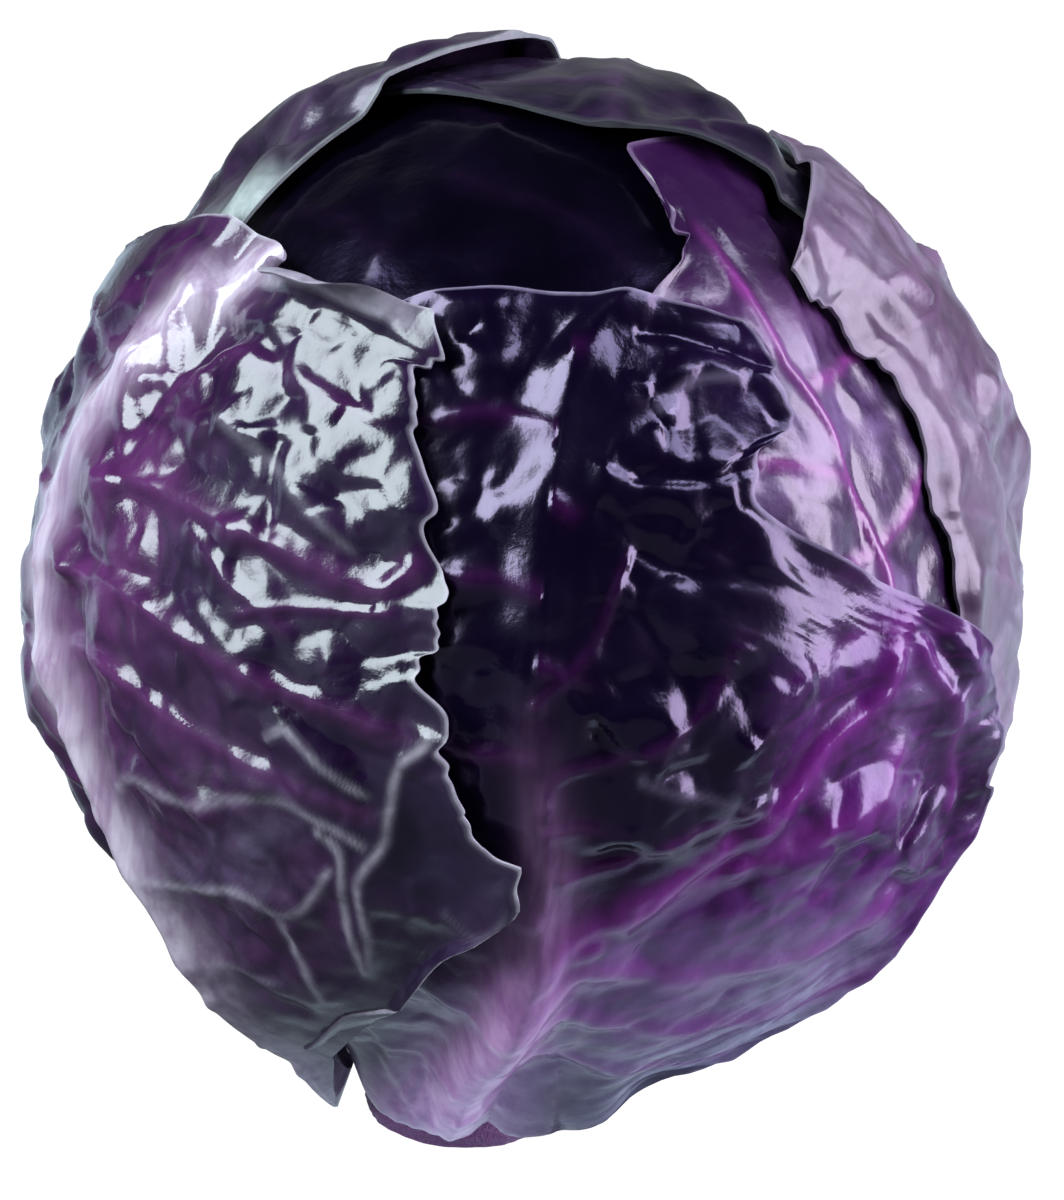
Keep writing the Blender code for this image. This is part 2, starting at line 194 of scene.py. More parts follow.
@dataclass(frozen=True)
class LeafPlan:
    """Outline and lie of one leaf. Margins and midrib give beta in degrees, evenly spaced to the tip.

    tips are alpha at the left margin, midrib and right margin, rises are how far the butt's edge
    climbs to each margin, and lifts are how far the left margin, the tip and the right margin stand
    off. waves counts the waves along a margin, and raggedness is how far it strays, in degrees.
    Heights and thicknesses are in millimetres: vein_height and pucker are the room that veins and
    blisters may take, and rib_sigmas are half widths of the midrib at its butt and at its tip.
    """

    name: str
    azimuth: float
    butt: float
    tips: tuple[float, float, float]
    rises: tuple[float, float]
    left: tuple[float, ...]
    rib: tuple[float, ...]
    right: tuple[float, ...]
    rib_height: float
    lifts: tuple[float, float, float]
    waves: float
    raggedness: float
    phase: float
    blade: float = 0.9
    vein_height: float = 0.7
    pucker: float = 0.9
    rib_sigmas: tuple[float, float] = (7.0, 2.5)
    rib_drape: float = 7.0
    drape_flat: float = 5.0
    drape_fade: float = 16.0
    rim_band: float = 0.16
    butt_zone: float = 0.15
    climb: float = 0.6
    PLACE_STEPS: ClassVar[int] = 10

    def axes(self) -> tuple[np.ndarray, np.ndarray]:
        """Directions of the leaf's azimuth and of its right side."""
        phi = np.radians(self.azimuth)
        outward = np.array([np.sin(phi), -np.cos(phi), 0.0])
        sideways = np.array([np.cos(phi), np.sin(phi), 0.0])
        return outward, sideways

    def margin(self, s: np.ndarray, t: np.ndarray) -> np.ndarray:
        """Beta of the margin on the side of t, with its ragged edge."""
        edge = np.where(t < 0, curve(self.left, s), curve(self.right, s))
        ripple = np.sin(33.0 * s + self.phase) + 0.7 * np.sin(57.0 * s + 2.0 * self.phase)
        return edge + self.raggedness * ripple * smooth_step(s / 0.2)

    def teeth(self, s: np.ndarray) -> np.ndarray:
        """Degrees by which the fine teeth of the torn margins stray."""
        coarse = 0.30 * np.sin(97.0 * s + 2.0 * np.sin(41.0 * s) + self.phase)
        fine = 0.16 * np.sin(173.0 * s + 3.0 * np.sin(23.0 * s) + 3.0 * self.phase)
        return self.raggedness * (coarse + fine)

    def spread(self, s: np.ndarray, t: np.ndarray) -> np.ndarray:
        """Beta at a place on the leaf, in degrees."""
        rib = curve(self.rib, s)
        return rib + np.abs(t) * (self.margin(s, t) - rib)

    def reach(self, t: np.ndarray) -> tuple[np.ndarray, np.ndarray]:
        """Alpha of the butt and of the tip at t, in degrees."""
        low = side_value(t, self.butt + self.rises[0], self.butt, self.butt + self.rises[1])
        return low, side_value(t, *self.tips)

    def at_angles(self, alpha: np.ndarray, beta: np.ndarray) -> np.ndarray:
        """Unit directions of the leaf's own angles, which are in degrees."""
        outward, sideways = self.axes()
        alpha, beta = np.radians(alpha), np.radians(beta)
        along = np.sin(alpha)[..., None] * outward - np.cos(alpha)[..., None] * np.array([0.0, 0.0, 1.0])
        return np.cos(beta)[..., None] * along + np.sin(beta)[..., None] * sideways

    def angles_of(self, direction: np.ndarray) -> tuple[np.ndarray, np.ndarray]:
        """Alpha and beta of unit directions, in degrees."""
        outward, sideways = self.axes()
        alpha = np.degrees(np.arctan2(direction @ outward, -direction[..., 2]))
        beta = np.degrees(np.arcsin(np.clip(direction @ sideways, -1.0, 1.0)))
        return np.mod(alpha + 90.0, 360.0) - 90.0, beta

    def direction(self, s: np.ndarray, t: np.ndarray, jag: float | np.ndarray = 0.0) -> np.ndarray:
        """Unit directions of places on the leaf.

        Args:
            s: Runs from 0 at the butt to 1 at the tip.
            t: Runs from -1 at the left margin to 1 at the right.
            jag: Degrees by which the margins stray further.

        Returns:
            The directions, from the head's centre.
        """
        low, top = self.reach(t)
        climb = self.climb * np.abs(t) ** SIDE_POWER
        alpha = low + (top - low) * (s + climb * s * (1.0 - s))
        return self.at_angles(alpha, self.spread(s, t) + jag * t**3)

    def place(self, direction: np.ndarray) -> tuple[np.ndarray, np.ndarray, np.ndarray]:
        """Finds directions on the leaf.

        Args:
            direction: Unit directions from the head's centre.

        Returns:
            Their s and t, also past the outline, and how far outside it they are, in millimetres.
        """
        alpha, beta = self.angles_of(direction)
        t = np.zeros_like(alpha)
        for _ in range(self.PLACE_STEPS):
            inside = np.clip(t, -1.0, 1.0)
            low, top = self.reach(inside)
            climb = self.climb * np.abs(inside) ** SIDE_POWER
            x = (alpha - low) / (top - low)
            root = np.sqrt(np.maximum((1.0 + climb) ** 2 - 4.0 * climb * x, 0.01))
            s = 2.0 * x / (1.0 + climb + root)
            rib = curve(self.rib, s)
            across = beta - rib
            half = np.abs(self.margin(unit(s), across) - rib)
            t = 0.5 * t + 0.5 * across / half
        beside = (np.abs(t) - 1.0) * half
        past = np.maximum(-s, s - 1.0) * (top - low) * np.cos(np.radians(beta))
        outside = np.hypot(np.maximum(beside, 0.0), np.maximum(past, 0.0))
        return s, t, outside * HEAD.degree

    def from_rib(self, s: np.ndarray, t: np.ndarray) -> np.ndarray:
        """Signed distance from the midrib, in millimetres."""
        return np.radians(self.spread(s, t) - curve(self.rib, s)) * HEAD.leaf_radius

    def rib_bulge(self, s: np.ndarray, t: np.ndarray, extra: float = 0.0) -> np.ndarray:
        """How far the midrib stands out. It is thick at the butt and fades to the tip."""
        s = unit(s)
        wide, narrow = self.rib_sigmas
        sigma = narrow + (wide - narrow) * (1.0 - s) ** 2 + extra
        height = self.rib_height * (0.12 + 0.88 * (1.0 - s) ** 2.2)
        return height * bell(self.from_rib(s, t), sigma)

    def rim_lift(self, s: np.ndarray, t: np.ndarray) -> np.ndarray:
        """How far the margin stands off what lies under it, with its waves."""
        s = unit(s)
        t = np.clip(t, -1.0, 1.0)
        side = smooth_step((np.abs(t) - 1.0 + self.rim_band) / self.rim_band)
        tip = smooth_step((s - 1.0 + self.rim_band) / self.rim_band)
        wave = 0.7 + 0.3 * np.sin(2.0 * np.pi * self.waves * s + self.phase)
        side_amount = np.where(t < 0, self.lifts[0], self.lifts[2])
        tip_wave = 0.8 + 0.2 * np.sin(5.0 * t + self.phase)
        return np.maximum(side * side_amount * wave, tip * self.lifts[1] * tip_wave)

    def room(self, s: np.ndarray, t: np.ndarray) -> np.ndarray:
        """Height that veins and blisters may take under the leaves that cover this one."""
        fade = 1.0 - 0.7 * unit(np.abs(t)) ** SIDE_POWER
        return (self.vein_height * fade + self.pucker) * smooth_step(s / self.butt_zone)

    def bed(self, direction: np.ndarray) -> np.ndarray:
        """How far this leaf lifts the leaves laid over it."""
        s, t, outside = self.place(direction)
        s_in, t_in = unit(s), np.clip(t, -1.0, 1.0)
        body = self.blade + self.room(s_in, t_in) + self.rib_bulge(s_in, t, self.rib_drape)
        drape = 1.0 - smooth_step((outside - self.drape_flat) / self.drape_fade)
        return drape * (HEAD.fit_gap + body + self.rim_lift(s_in, t_in))


@dataclass(frozen=True)
class Ridge:
    """A vein, fold or crease of the blade, through places given as alpha and beta in degrees.

    A crease has a height below 0, and a sharp one is a fold with a pale line along its top, which is a
    painted highlight. height and sigma, its half width, are in millimetres, end is the share of both
    that is left where it ends, and tone is how much it is coloured, on a sharp fold how bright its
    painted highlight is.
    """

    places: Places
    height: float = 0.8
    sigma: float = 1.3
    end: float = 0.45
    tone: float = 1.0
    sharp: bool = False


class RidgeNet:
    """All drawn ridges and creases of one leaf, sampled closely so that a surface can measure to them."""

    STEP = 0.3
    REACH = 4.5
    WANDER = 0.5
    WANDER_PITCH = 4.0
    CREST_RADIUS = 1.0
    FACET_REACH = 4.2
    FACET_HEIGHT = 0.75
    FOLD_GLINT_WIDTH = 0.65
    VEIN_TONE_WIDTH = 1.25

    def __init__(self, plan: LeafPlan, ridges: tuple[Ridge, ...]) -> None:
        """Keeps the ridges and the leaf that they lie on."""
        self.plan = plan
        self.ridges = ridges

    def trace(self, ridge: Ridge) -> np.ndarray:
        """Points along one ridge, on a sphere of the leaf's radius.

        Args:
            ridge: The ridge, whose corners are alpha and beta in degrees.

        Returns:
            The points in millimetres, a step apart.
        """
        corners = np.asarray(ridge.places, float)
        length = np.sum(np.hypot(*np.diff(corners, axis=0).T)) * HEAD.degree
        share = np.linspace(0.0, 1.0, max(int(length / self.STEP), 4))
        alpha = curve(tuple(corners[:, 0]), share)
        beta = curve(tuple(corners[:, 1]), share)
        turns = np.linspace(0.0, length / self.WANDER_PITCH, len(share))
        wander = self.WANDER * np.sin(turns + corners[0, 0])
        return self.plan.at_angles(alpha + 0.6 * wander, beta - wander) * HEAD.leaf_radius

    def nearest(self, line: np.ndarray, place: np.ndarray) -> tuple[np.ndarray, np.ndarray]:
        """Distance to a line, and the share of its length at which its nearest point lies."""
        tree = point_tree(line)
        found = [tree.find(point)[1:] for point in place]
        index = np.array([item[0] for item in found])
        return np.array([item[1] for item in found]), index / (len(line) - 1)

    def field(self, place: np.ndarray) -> tuple[np.ndarray, np.ndarray, np.ndarray, np.ndarray]:
        """Heights and tones of the ridges.

        Args:
            place: Points on the sphere of the leaf's radius, in millimetres.

        Returns:
            At each point, how high the ridges stand and how far the creases sink in millimetres, and
            how much of the vein's colour and of a sharp fold's painted highlight it shows.
        """
        rise, fall, vein_tone, fold_glint = np.zeros((4, len(place)))
        for ridge in self.ridges:
            line = self.trace(ridge)
            middle = line.mean(axis=0)
            reach = np.max(np.linalg.norm(line - middle, axis=1)) + self.REACH * ridge.sigma
            near = np.flatnonzero(np.linalg.norm(place - middle, axis=1) < reach)
            distance, share = self.nearest(line, place[near])
            taper = 1.0 - (1.0 - ridge.end) * share
            ends = smooth_step(share / 0.08 + 0.25) * smooth_step((1.0 - share) / 0.10 + 0.1)
            sigma = ridge.sigma * (0.4 + 0.6 * taper)
            rounded = np.hypot(distance, self.CREST_RADIUS) - self.CREST_RADIUS
            facet = self.FACET_HEIGHT * np.maximum(1.0 - rounded / (self.FACET_REACH * sigma), 0.0) ** 1.6
            shape = facet if ridge.sharp else bell(distance, sigma)
            height = ridge.height * taper * ends * shape
            rise[near] = np.maximum(rise[near], height)
            fall[near] = np.minimum(fall[near], height)
            tones = fold_glint if ridge.sharp else vein_tone
            width = self.FOLD_GLINT_WIDTH if ridge.sharp else self.VEIN_TONE_WIDTH
            tones[near] = np.maximum(tones[near], ridge.tone * ends * bell(distance, width * sigma))
        return rise, fall, vein_tone, fold_glint


@dataclass(frozen=True)
class Crumple:
    """Blisters of the blade: jittered patches, each tilted its own way and puffed between its creases.

    patch is their width and puff their height, in millimetres, and tilt is their usual slope. They are
    longer along run, by the factor stretch.
    """

    patch: float
    tilt: float
    puff: float
    seed: int
    run: tuple[float, float, float] = (0.0, 0.0, 1.0)
    stretch: float = 1.0
    CREASE_WIDTH: ClassVar[float] = 1.44
    FLAT_SHARE: ClassVar[float] = 0.35
    NEIGHBOURS: ClassVar[int] = 4
    JITTER: ClassVar[float] = 0.3
    UNEVEN: ClassVar[float] = 0.35
    SOFTNESS: ClassVar[float] = 0.11

    def along_run(self, place: np.ndarray) -> np.ndarray:
        """Squeezes space along the run of the folds, so that the patches come out longer that way."""
        run = np.asarray(self.run) / np.linalg.norm(self.run)
        return place + (1.0 / self.stretch - 1.0) * (place @ run)[..., None] * run

    def patches(self) -> tuple[np.ndarray, np.ndarray, np.ndarray]:
        """Centres, slopes and heights of the patches, over the whole sphere of the leaf."""
        chance = np.random.default_rng(self.seed)
        count = int(4.0 * np.pi * HEAD.leaf_radius**2 / self.patch**2 / self.stretch)
        i = np.arange(count) + 0.5
        polar, turn = np.arccos(1.0 - 2.0 * i / count), np.pi * (1.0 + 5.0**0.5) * i
        flat = np.stack([np.sin(polar) * np.cos(turn), np.sin(polar) * np.sin(turn), np.cos(polar)], axis=1)
        centres = flat * HEAD.leaf_radius + chance.normal(0.0, self.JITTER * self.patch, (count, 3))
        centres *= HEAD.leaf_radius / np.linalg.norm(centres, axis=1, keepdims=True)
        slopes = chance.normal(0.0, self.tilt, (count, 3))
        heights = chance.normal(0.0, self.UNEVEN * self.puff, count)
        return centres, slopes, heights

    def field(self, place: np.ndarray) -> tuple[np.ndarray, np.ndarray, np.ndarray]:
        """Height of the blisters, depth of the creases between them and shade of each patch.

        Args:
            place: Points on the sphere of the leaf's radius, in millimetres.

        Returns:
            The height, about 0 on the mean, the crease, 1 in its bottom, and the patch's own shade,
            from 0 to 1, at each point.
        """
        centres, slopes, heights = self.patches()
        centres, place = self.along_run(centres), self.along_run(place)
        tree = point_tree(centres)
        near = [[item[1] for item in tree.find_n(point, self.NEIGHBOURS)] for point in place]
        index = np.array(near)
        offset = place[:, None, :] - centres[index]
        squares = np.sum(offset**2, axis=2)
        weight = np.exp(-(squares - squares[:, :1]) / (self.SOFTNESS * self.patch**2))
        weight = weight / np.sum(weight, axis=1, keepdims=True)
        planes = heights[index] + np.sum(offset * slopes[index], axis=2)
        tilted = np.sum(weight * planes, axis=1)
        shade = 0.5 + 0.5 * np.sum(weight * np.tanh(4.0 * heights[index] / self.puff), axis=1)
        gap = np.sqrt(squares[:, 1]) - np.sqrt(squares[:, 0])
        crease = bell(gap, self.CREASE_WIDTH)
        puffed = self.puff * smooth_step(gap / (0.9 * self.patch))
        return tilted + puffed - self.FLAT_SHARE * self.puff, crease, shade


@dataclass(frozen=True)
class LeafFinish:
    """Colours and gloss of one leaf, as linear colours.

    The skin is mottled from its darkest tone to blade, flushed in some areas, and paler at its butt and
    rim. The darkest tone is also laid on as painted shade, in creases and in darker areas, and the
    pale waxy film is partly wax and partly painted sheen. bloom_share is how much of the film lies
    everywhere, and glint tints the highlights.
    """

    name: str
    deep_and_shade: Colour
    blade: Colour
    flush: Colour
    vein: Colour
    butt: Colour
    rim: Colour
    bloom_and_sheen: Colour
    bloom_share: float
    roughness: float
    glint: Colour = (0.85, 0.82, 1.0)


class NodeSketch:
    """Adds and joins the nodes of one material."""

    SHADER = "Principled BSDF"
    COORDINATES = "Object"
    WANDER_SCALE = 120.0

    def __init__(self, name: str) -> None:
        """Starts the material, with its shader and its coordinates."""
        self.made = self.begin(name)
        self.made.use_nodes = True
        self.tree = self.made.node_tree
        self.where = self.node("ShaderNodeTexCoord").outputs[self.COORDINATES]

    def begin(self, name: str) -> bpy.types.ID:
        """Makes an empty material."""
        return bpy.data.materials.new(name)

    def node(self, kind: str, *values: object, **settings: object) -> bpy.types.Node:
        """Adds a node, sets its own options and feeds its first sockets."""
        made = self.tree.nodes.new(kind)
        for key, value in settings.items():
            setattr(made, key, value)
        for socket, value in zip(made.inputs, values):
            self.feed(socket, value)
        return made

    def shade(self, sockets: dict[str, object]) -> None:
        """Feeds sockets of the shader, by name."""
        for key, value in sockets.items():
            self.feed(self.tree.nodes[self.SHADER].inputs[key], value)

    def feed(self, socket: bpy.types.NodeSocket, value: object) -> None:
        """Gives a socket a link if value is a socket, and a constant otherwise."""
        if isinstance(value, bpy.types.NodeSocket):
            self.tree.links.new(value, socket)
        elif isinstance(value, tuple) and len(value) == 3 and socket.type == "RGBA":
            socket.default_value = (*value, 1.0)
        else:
            socket.default_value = value

    def attribute(self, name: str) -> bpy.types.NodeSocket:
        """The number that the mesh has at each point under this name."""
        return self.node("ShaderNodeAttribute", attribute_name=name).outputs["Fac"]

    def noise(self, scale: float, detail: float = 3.0, rough: float = 0.55,
              stretch: tuple[float, float, float] = (1.0, 1.0, 1.0)) -> bpy.types.NodeSocket:
        """Soft noise of a given number of spots per metre."""
        mapping = self.node("ShaderNodeMapping", self.where)
        mapping.inputs["Scale"].default_value = stretch
        made = self.node("ShaderNodeTexNoise", mapping.outputs["Vector"])
        for key, number in (("Scale", scale), ("Detail", detail), ("Roughness", rough)):
            made.inputs[key].default_value = number
        return made.outputs["Fac"]

    def cells(self, scale: float, warp: float) -> bpy.types.NodeSocket:
        """Distance to the edge of uneven cells, of a given number per metre."""
        wander = self.node("ShaderNodeTexNoise", self.where)
        wander.inputs["Scale"].default_value = self.WANDER_SCALE
        shift = self.node("ShaderNodeVectorMath", wander.outputs["Color"], (warp, warp, warp), self.where,
                          operation="MULTIPLY_ADD")
        made = self.node("ShaderNodeTexVoronoi", shift.outputs["Vector"], feature="DISTANCE_TO_EDGE")
        made.inputs["Scale"].default_value = scale
        return made.outputs["Distance"]

    def span(self, value: object, low: float, high: float, to_low: float = 0.0,
             to_high: float = 1.0) -> bpy.types.NodeSocket:
        """Maps a range of a value onto another, smoothly and clamped."""
        made = self.node("ShaderNodeMapRange", value, interpolation_type="SMOOTHSTEP")
        for key, number in (("From Min", low), ("From Max", high), ("To Min", to_low), ("To Max", to_high)):
            made.inputs[key].default_value = number
        return made.outputs["Result"]

    def maths(self, operation: str, first: object, second: object) -> bpy.types.NodeSocket:
        """Joins two numbers."""
        return self.node("ShaderNodeMath", first, second, operation=operation).outputs[0]

    def blend(self, share: object, first: object, second: object) -> bpy.types.NodeSocket:
        """Mixes two colours."""
        made = self.node("ShaderNodeMix", data_type="RGBA")
        self.feed(made.inputs[0], share)
        self.feed(made.inputs[6], first)
        self.feed(made.inputs[7], second)
        return made.outputs[2]

    def bump(self, height: object, depth: float) -> bpy.types.NodeSocket:
        """Turns a height into a normal."""
        made = self.node("ShaderNodeBump")
        self.feed(made.inputs["Height"], height)
        made.inputs["Distance"].default_value = depth
        made.inputs["Strength"].default_value = 1.0
        return made.outputs["Normal"]


class SkySketch(NodeSketch):
    """Adds and joins the nodes of the surround, whose coordinates are its directions."""

    SHADER = "Background"
    COORDINATES = "Generated"

    def begin(self, name: str) -> bpy.types.ID:
        """Makes an empty world."""
        return bpy.data.worlds.new(name)


class Wax:
    """Numbers that the skins of all leaves share: noises in spots per metre, weights and gloss."""

    MOTTLE = 70.0
    SPECKLE = 420.0
    FIBRE = 90.0
    FIBRE_STRETCH = (3.2, 3.2, 0.5)
    CLOUD = 38.0
    CREASE_SHADE = 0.6
    BLOOM_MATT = 0.2
    RIM_MATT = 0.35
    GRAIN_DEPTH = 0.00018
    SPECULAR = 0.6
    COAT = 0.12
    COAT_ROUGHNESS = 0.1


def dress_leaf(finish: LeafFinish) -> bpy.types.Material:
    """The waxy skin of a leaf, over its mesh attributes vein, crease, rim, rib, flush, deep and bloom.

    Args:
        finish: Its colours and gloss.

    Returns:
        The material.
    """
    sketch = NodeSketch(finish.name)
    mottle = sketch.noise(Wax.MOTTLE, 4.0)
    speckle = sketch.noise(Wax.SPECKLE, 3.0, 0.6)
    fibre = sketch.noise(Wax.FIBRE, 3.0, 0.6, Wax.FIBRE_STRETCH)
    cloud = sketch.noise(Wax.CLOUD, 5.0, 0.62)

    flush = sketch.maths("MULTIPLY", sketch.attribute("flush"), sketch.span(mottle, 0.2, 0.7, 0.45, 1.0))
    # Darker areas, partly the leaf's own dark colour and partly painted shade; the pale film is thinned in
    # them.
    deep_and_shade = sketch.attribute("deep_and_shade")
    # Pale waxy film: wax everywhere by bloom_share, and in its areas partly painted sheen; thinned in the
    # darker areas.
    film = sketch.maths("ADD", sketch.attribute("bloom_and_sheen"), finish.bloom_share)
    film = sketch.maths("MULTIPLY", film, sketch.span(deep_and_shade, 0.0, 1.0, 1.0, 0.15))
    bloom_and_sheen = sketch.maths("MULTIPLY", sketch.span(cloud, 0.40, 0.66), film)
    grain = sketch.span(speckle, 0.3, 0.75, 0.0, 0.3)
    # Painted shade: the creases between blisters are darkened towards the darkest tone.
    crease = sketch.maths("MULTIPLY", sketch.attribute("crease"), Wax.CREASE_SHADE)
    vein = sketch.maths("MULTIPLY", sketch.attribute("vein"), sketch.span(fibre, 0.3, 0.7, 0.55, 1.0))
    flesh = sketch.blend(sketch.span(fibre, 0.2, 0.8, 0.25, 1.0), finish.vein, finish.butt)
    # Pale margins and lip, the leaf's own colour, with painted highlight lines along sharp folds' crests.
    rim = sketch.maths("MULTIPLY", sketch.attribute("rim"), sketch.span(speckle, 0.25, 0.7, 0.6, 1.0))
    tone = sketch.blend(sketch.span(mottle, 0.35, 0.65), finish.deep_and_shade, finish.blade)
    for share, colour in ((flush, finish.flush), (deep_and_shade, finish.deep_and_shade), (bloom_and_sheen, finish.bloom_and_sheen),
                          (grain, finish.deep_and_shade), (crease, finish.deep_and_shade), (vein, finish.vein),
                          (sketch.attribute("rib"), flesh), (rim, finish.rim)):
        tone = sketch.blend(share, tone, colour)

    gloss = sketch.span(mottle, 0.3, 0.7, finish.roughness - 0.04, finish.roughness + 0.06)
    gloss = sketch.maths("ADD", gloss, sketch.maths("MULTIPLY", bloom_and_sheen, Wax.BLOOM_MATT))
    gloss = sketch.maths("ADD", gloss, sketch.maths("MULTIPLY", rim, Wax.RIM_MATT))
    height = sketch.maths("MULTIPLY", speckle, 0.6)
    height = sketch.maths("ADD", height, sketch.maths("MULTIPLY", fibre, 0.15))

    sketch.shade({
        "Base Color": tone,
        "Roughness": gloss,
        "Normal": sketch.bump(height, Wax.GRAIN_DEPTH),
        "Specular IOR Level": Wax.SPECULAR,
        "Specular Tint": finish.glint,
        "Coat Weight": Wax.COAT,
        "Coat Roughness": Wax.COAT_ROUGHNESS,
    })
    return sketch.made


def add_piece(name: str, shape: bmesh.types.BMesh, material: bpy.types.Material,
              traits: dict[str, np.ndarray] | None = None) -> bpy.types.Object:
    """Makes a finished shape one piece of the head that stands for the CAD node of its name.

    Args:
        name: The CAD node.
        shape: The shape, in metres. It is freed.
        material: Its finish.
        traits: Numbers for each point, by attribute name.

    Returns:
        The new object.
    """
    bmesh.ops.recalc_face_normals(shape, faces=shape.faces)
    mesh = bpy.data.meshes.new(name + "_skin")
    shape.to_mesh(mesh)
    shape.free()
    for key, values in (traits or {}).items():
        layer = mesh.attributes.new(key, "FLOAT", "POINT")
        layer.data.foreach_set("value", np.asarray(values, np.float32))
    mesh.shade_smooth()
    mesh.set_sharp_from_angle(angle=np.radians(SHARP_ANGLE))
    mesh.materials.append(material)
    piece = show(name + "_skin", mesh)
    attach(piece, "root")
    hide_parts(name)
    LOG.info("%s: %d faces", piece.name, len(mesh.polygons))
    return piece


@dataclass(frozen=True)
class Patch:
    """A soft oval area of a leaf, with its centre and half sizes as alpha and beta in degrees."""

    alpha: float
    beta: float
    tall: float
    wide: float
    amount: float = 1.0

    def share(self, alpha: np.ndarray, beta: np.ndarray) -> np.ndarray:
        """How much of the patch each place has, from 0 to its amount."""
        reach = np.hypot((alpha - self.alpha) / self.tall, (beta - self.beta) / self.wide)
        return self.amount * (1.0 - smooth_step((reach - 0.5) / 0.8))


Areas = tuple[Patch, ...]


@dataclass(frozen=True)
class Curl:
    """The tip margin rolled back on itself.

    start is the share of the leaf's length where the roll begins, radius its radius in millimetres,
    and from_t the t where it begins. CREST_FROM and CREST_FADE are in millimetres past start.
    """

    start: float
    radius: float
    from_t: float
    CREST_FROM: ClassVar[float] = 3.0
    CREST_FADE: ClassVar[float] = 2.0
    CREST_TONE: ClassVar[float] = 0.75

    def bend(self, s: np.ndarray, t: np.ndarray, length: np.ndarray) -> tuple[np.ndarray, np.ndarray]:
        """Rolls the tip.

        Args:
            s: Places along the leaf.
            t: Places across it.
            length: The leaf's length at each place, in millimetres.

        Returns:
            The new s, and how far the roll lifts each place.
        """
        past = np.maximum(s - self.start, 0.0) * length
        share = smooth_step((t - self.from_t) / 0.4) * smooth_step((1.04 - t) / 0.5)
        turn = past / self.radius * share
        rolled = self.start + self.radius * np.sin(turn) / length
        new_s = np.where(s > self.start, s + share * (rolled - s), s)
        return new_s, self.radius * (1.0 - np.cos(turn))

    def crest(self, s: np.ndarray, t: np.ndarray, length: np.ndarray) -> np.ndarray:
        """How pale the roll is: its crest is, and fades to its two ends."""
        past = (s - self.start) * length - self.CREST_FROM
        ends = smooth_step((t - self.from_t) / 0.3) * smooth_step((1.02 - t) / 0.25)
        return self.CREST_TONE * smooth_step(past / self.CREST_FADE) * ends


@dataclass(frozen=True)
class LeafLay:
    """Where the points of one leaf lie before its relief is added, with one number for each point.

    s and t are its places and alpha and beta their angles in degrees. The leaf's length, the gaps to
    its tip and margin and the height of the roll are in millimetres. lip is how pale the rolled lip
    is, and open_air is 0 under the leaves that cover this one and 1 well clear of them.
    """

    s: np.ndarray
    t: np.ndarray
    direction: np.ndarray
    alpha: np.ndarray
    beta: np.ndarray
    length: np.ndarray
    tip_gap: np.ndarray
    margin_gap: np.ndarray
    roll: np.ndarray
    lip: np.ndarray
    open_air: np.ndarray

    @property
    def place(self) -> np.ndarray:
        """The points on the sphere of the leaf's radius, in millimetres."""
        return self.direction * HEAD.leaf_radius

    def share(self, patches: Areas) -> np.ndarray:
        """The strongest of some patches at each point."""
        total = np.zeros_like(self.alpha)
        for patch in patches:
            total = np.maximum(total, patch.share(self.alpha, self.beta))
        return total


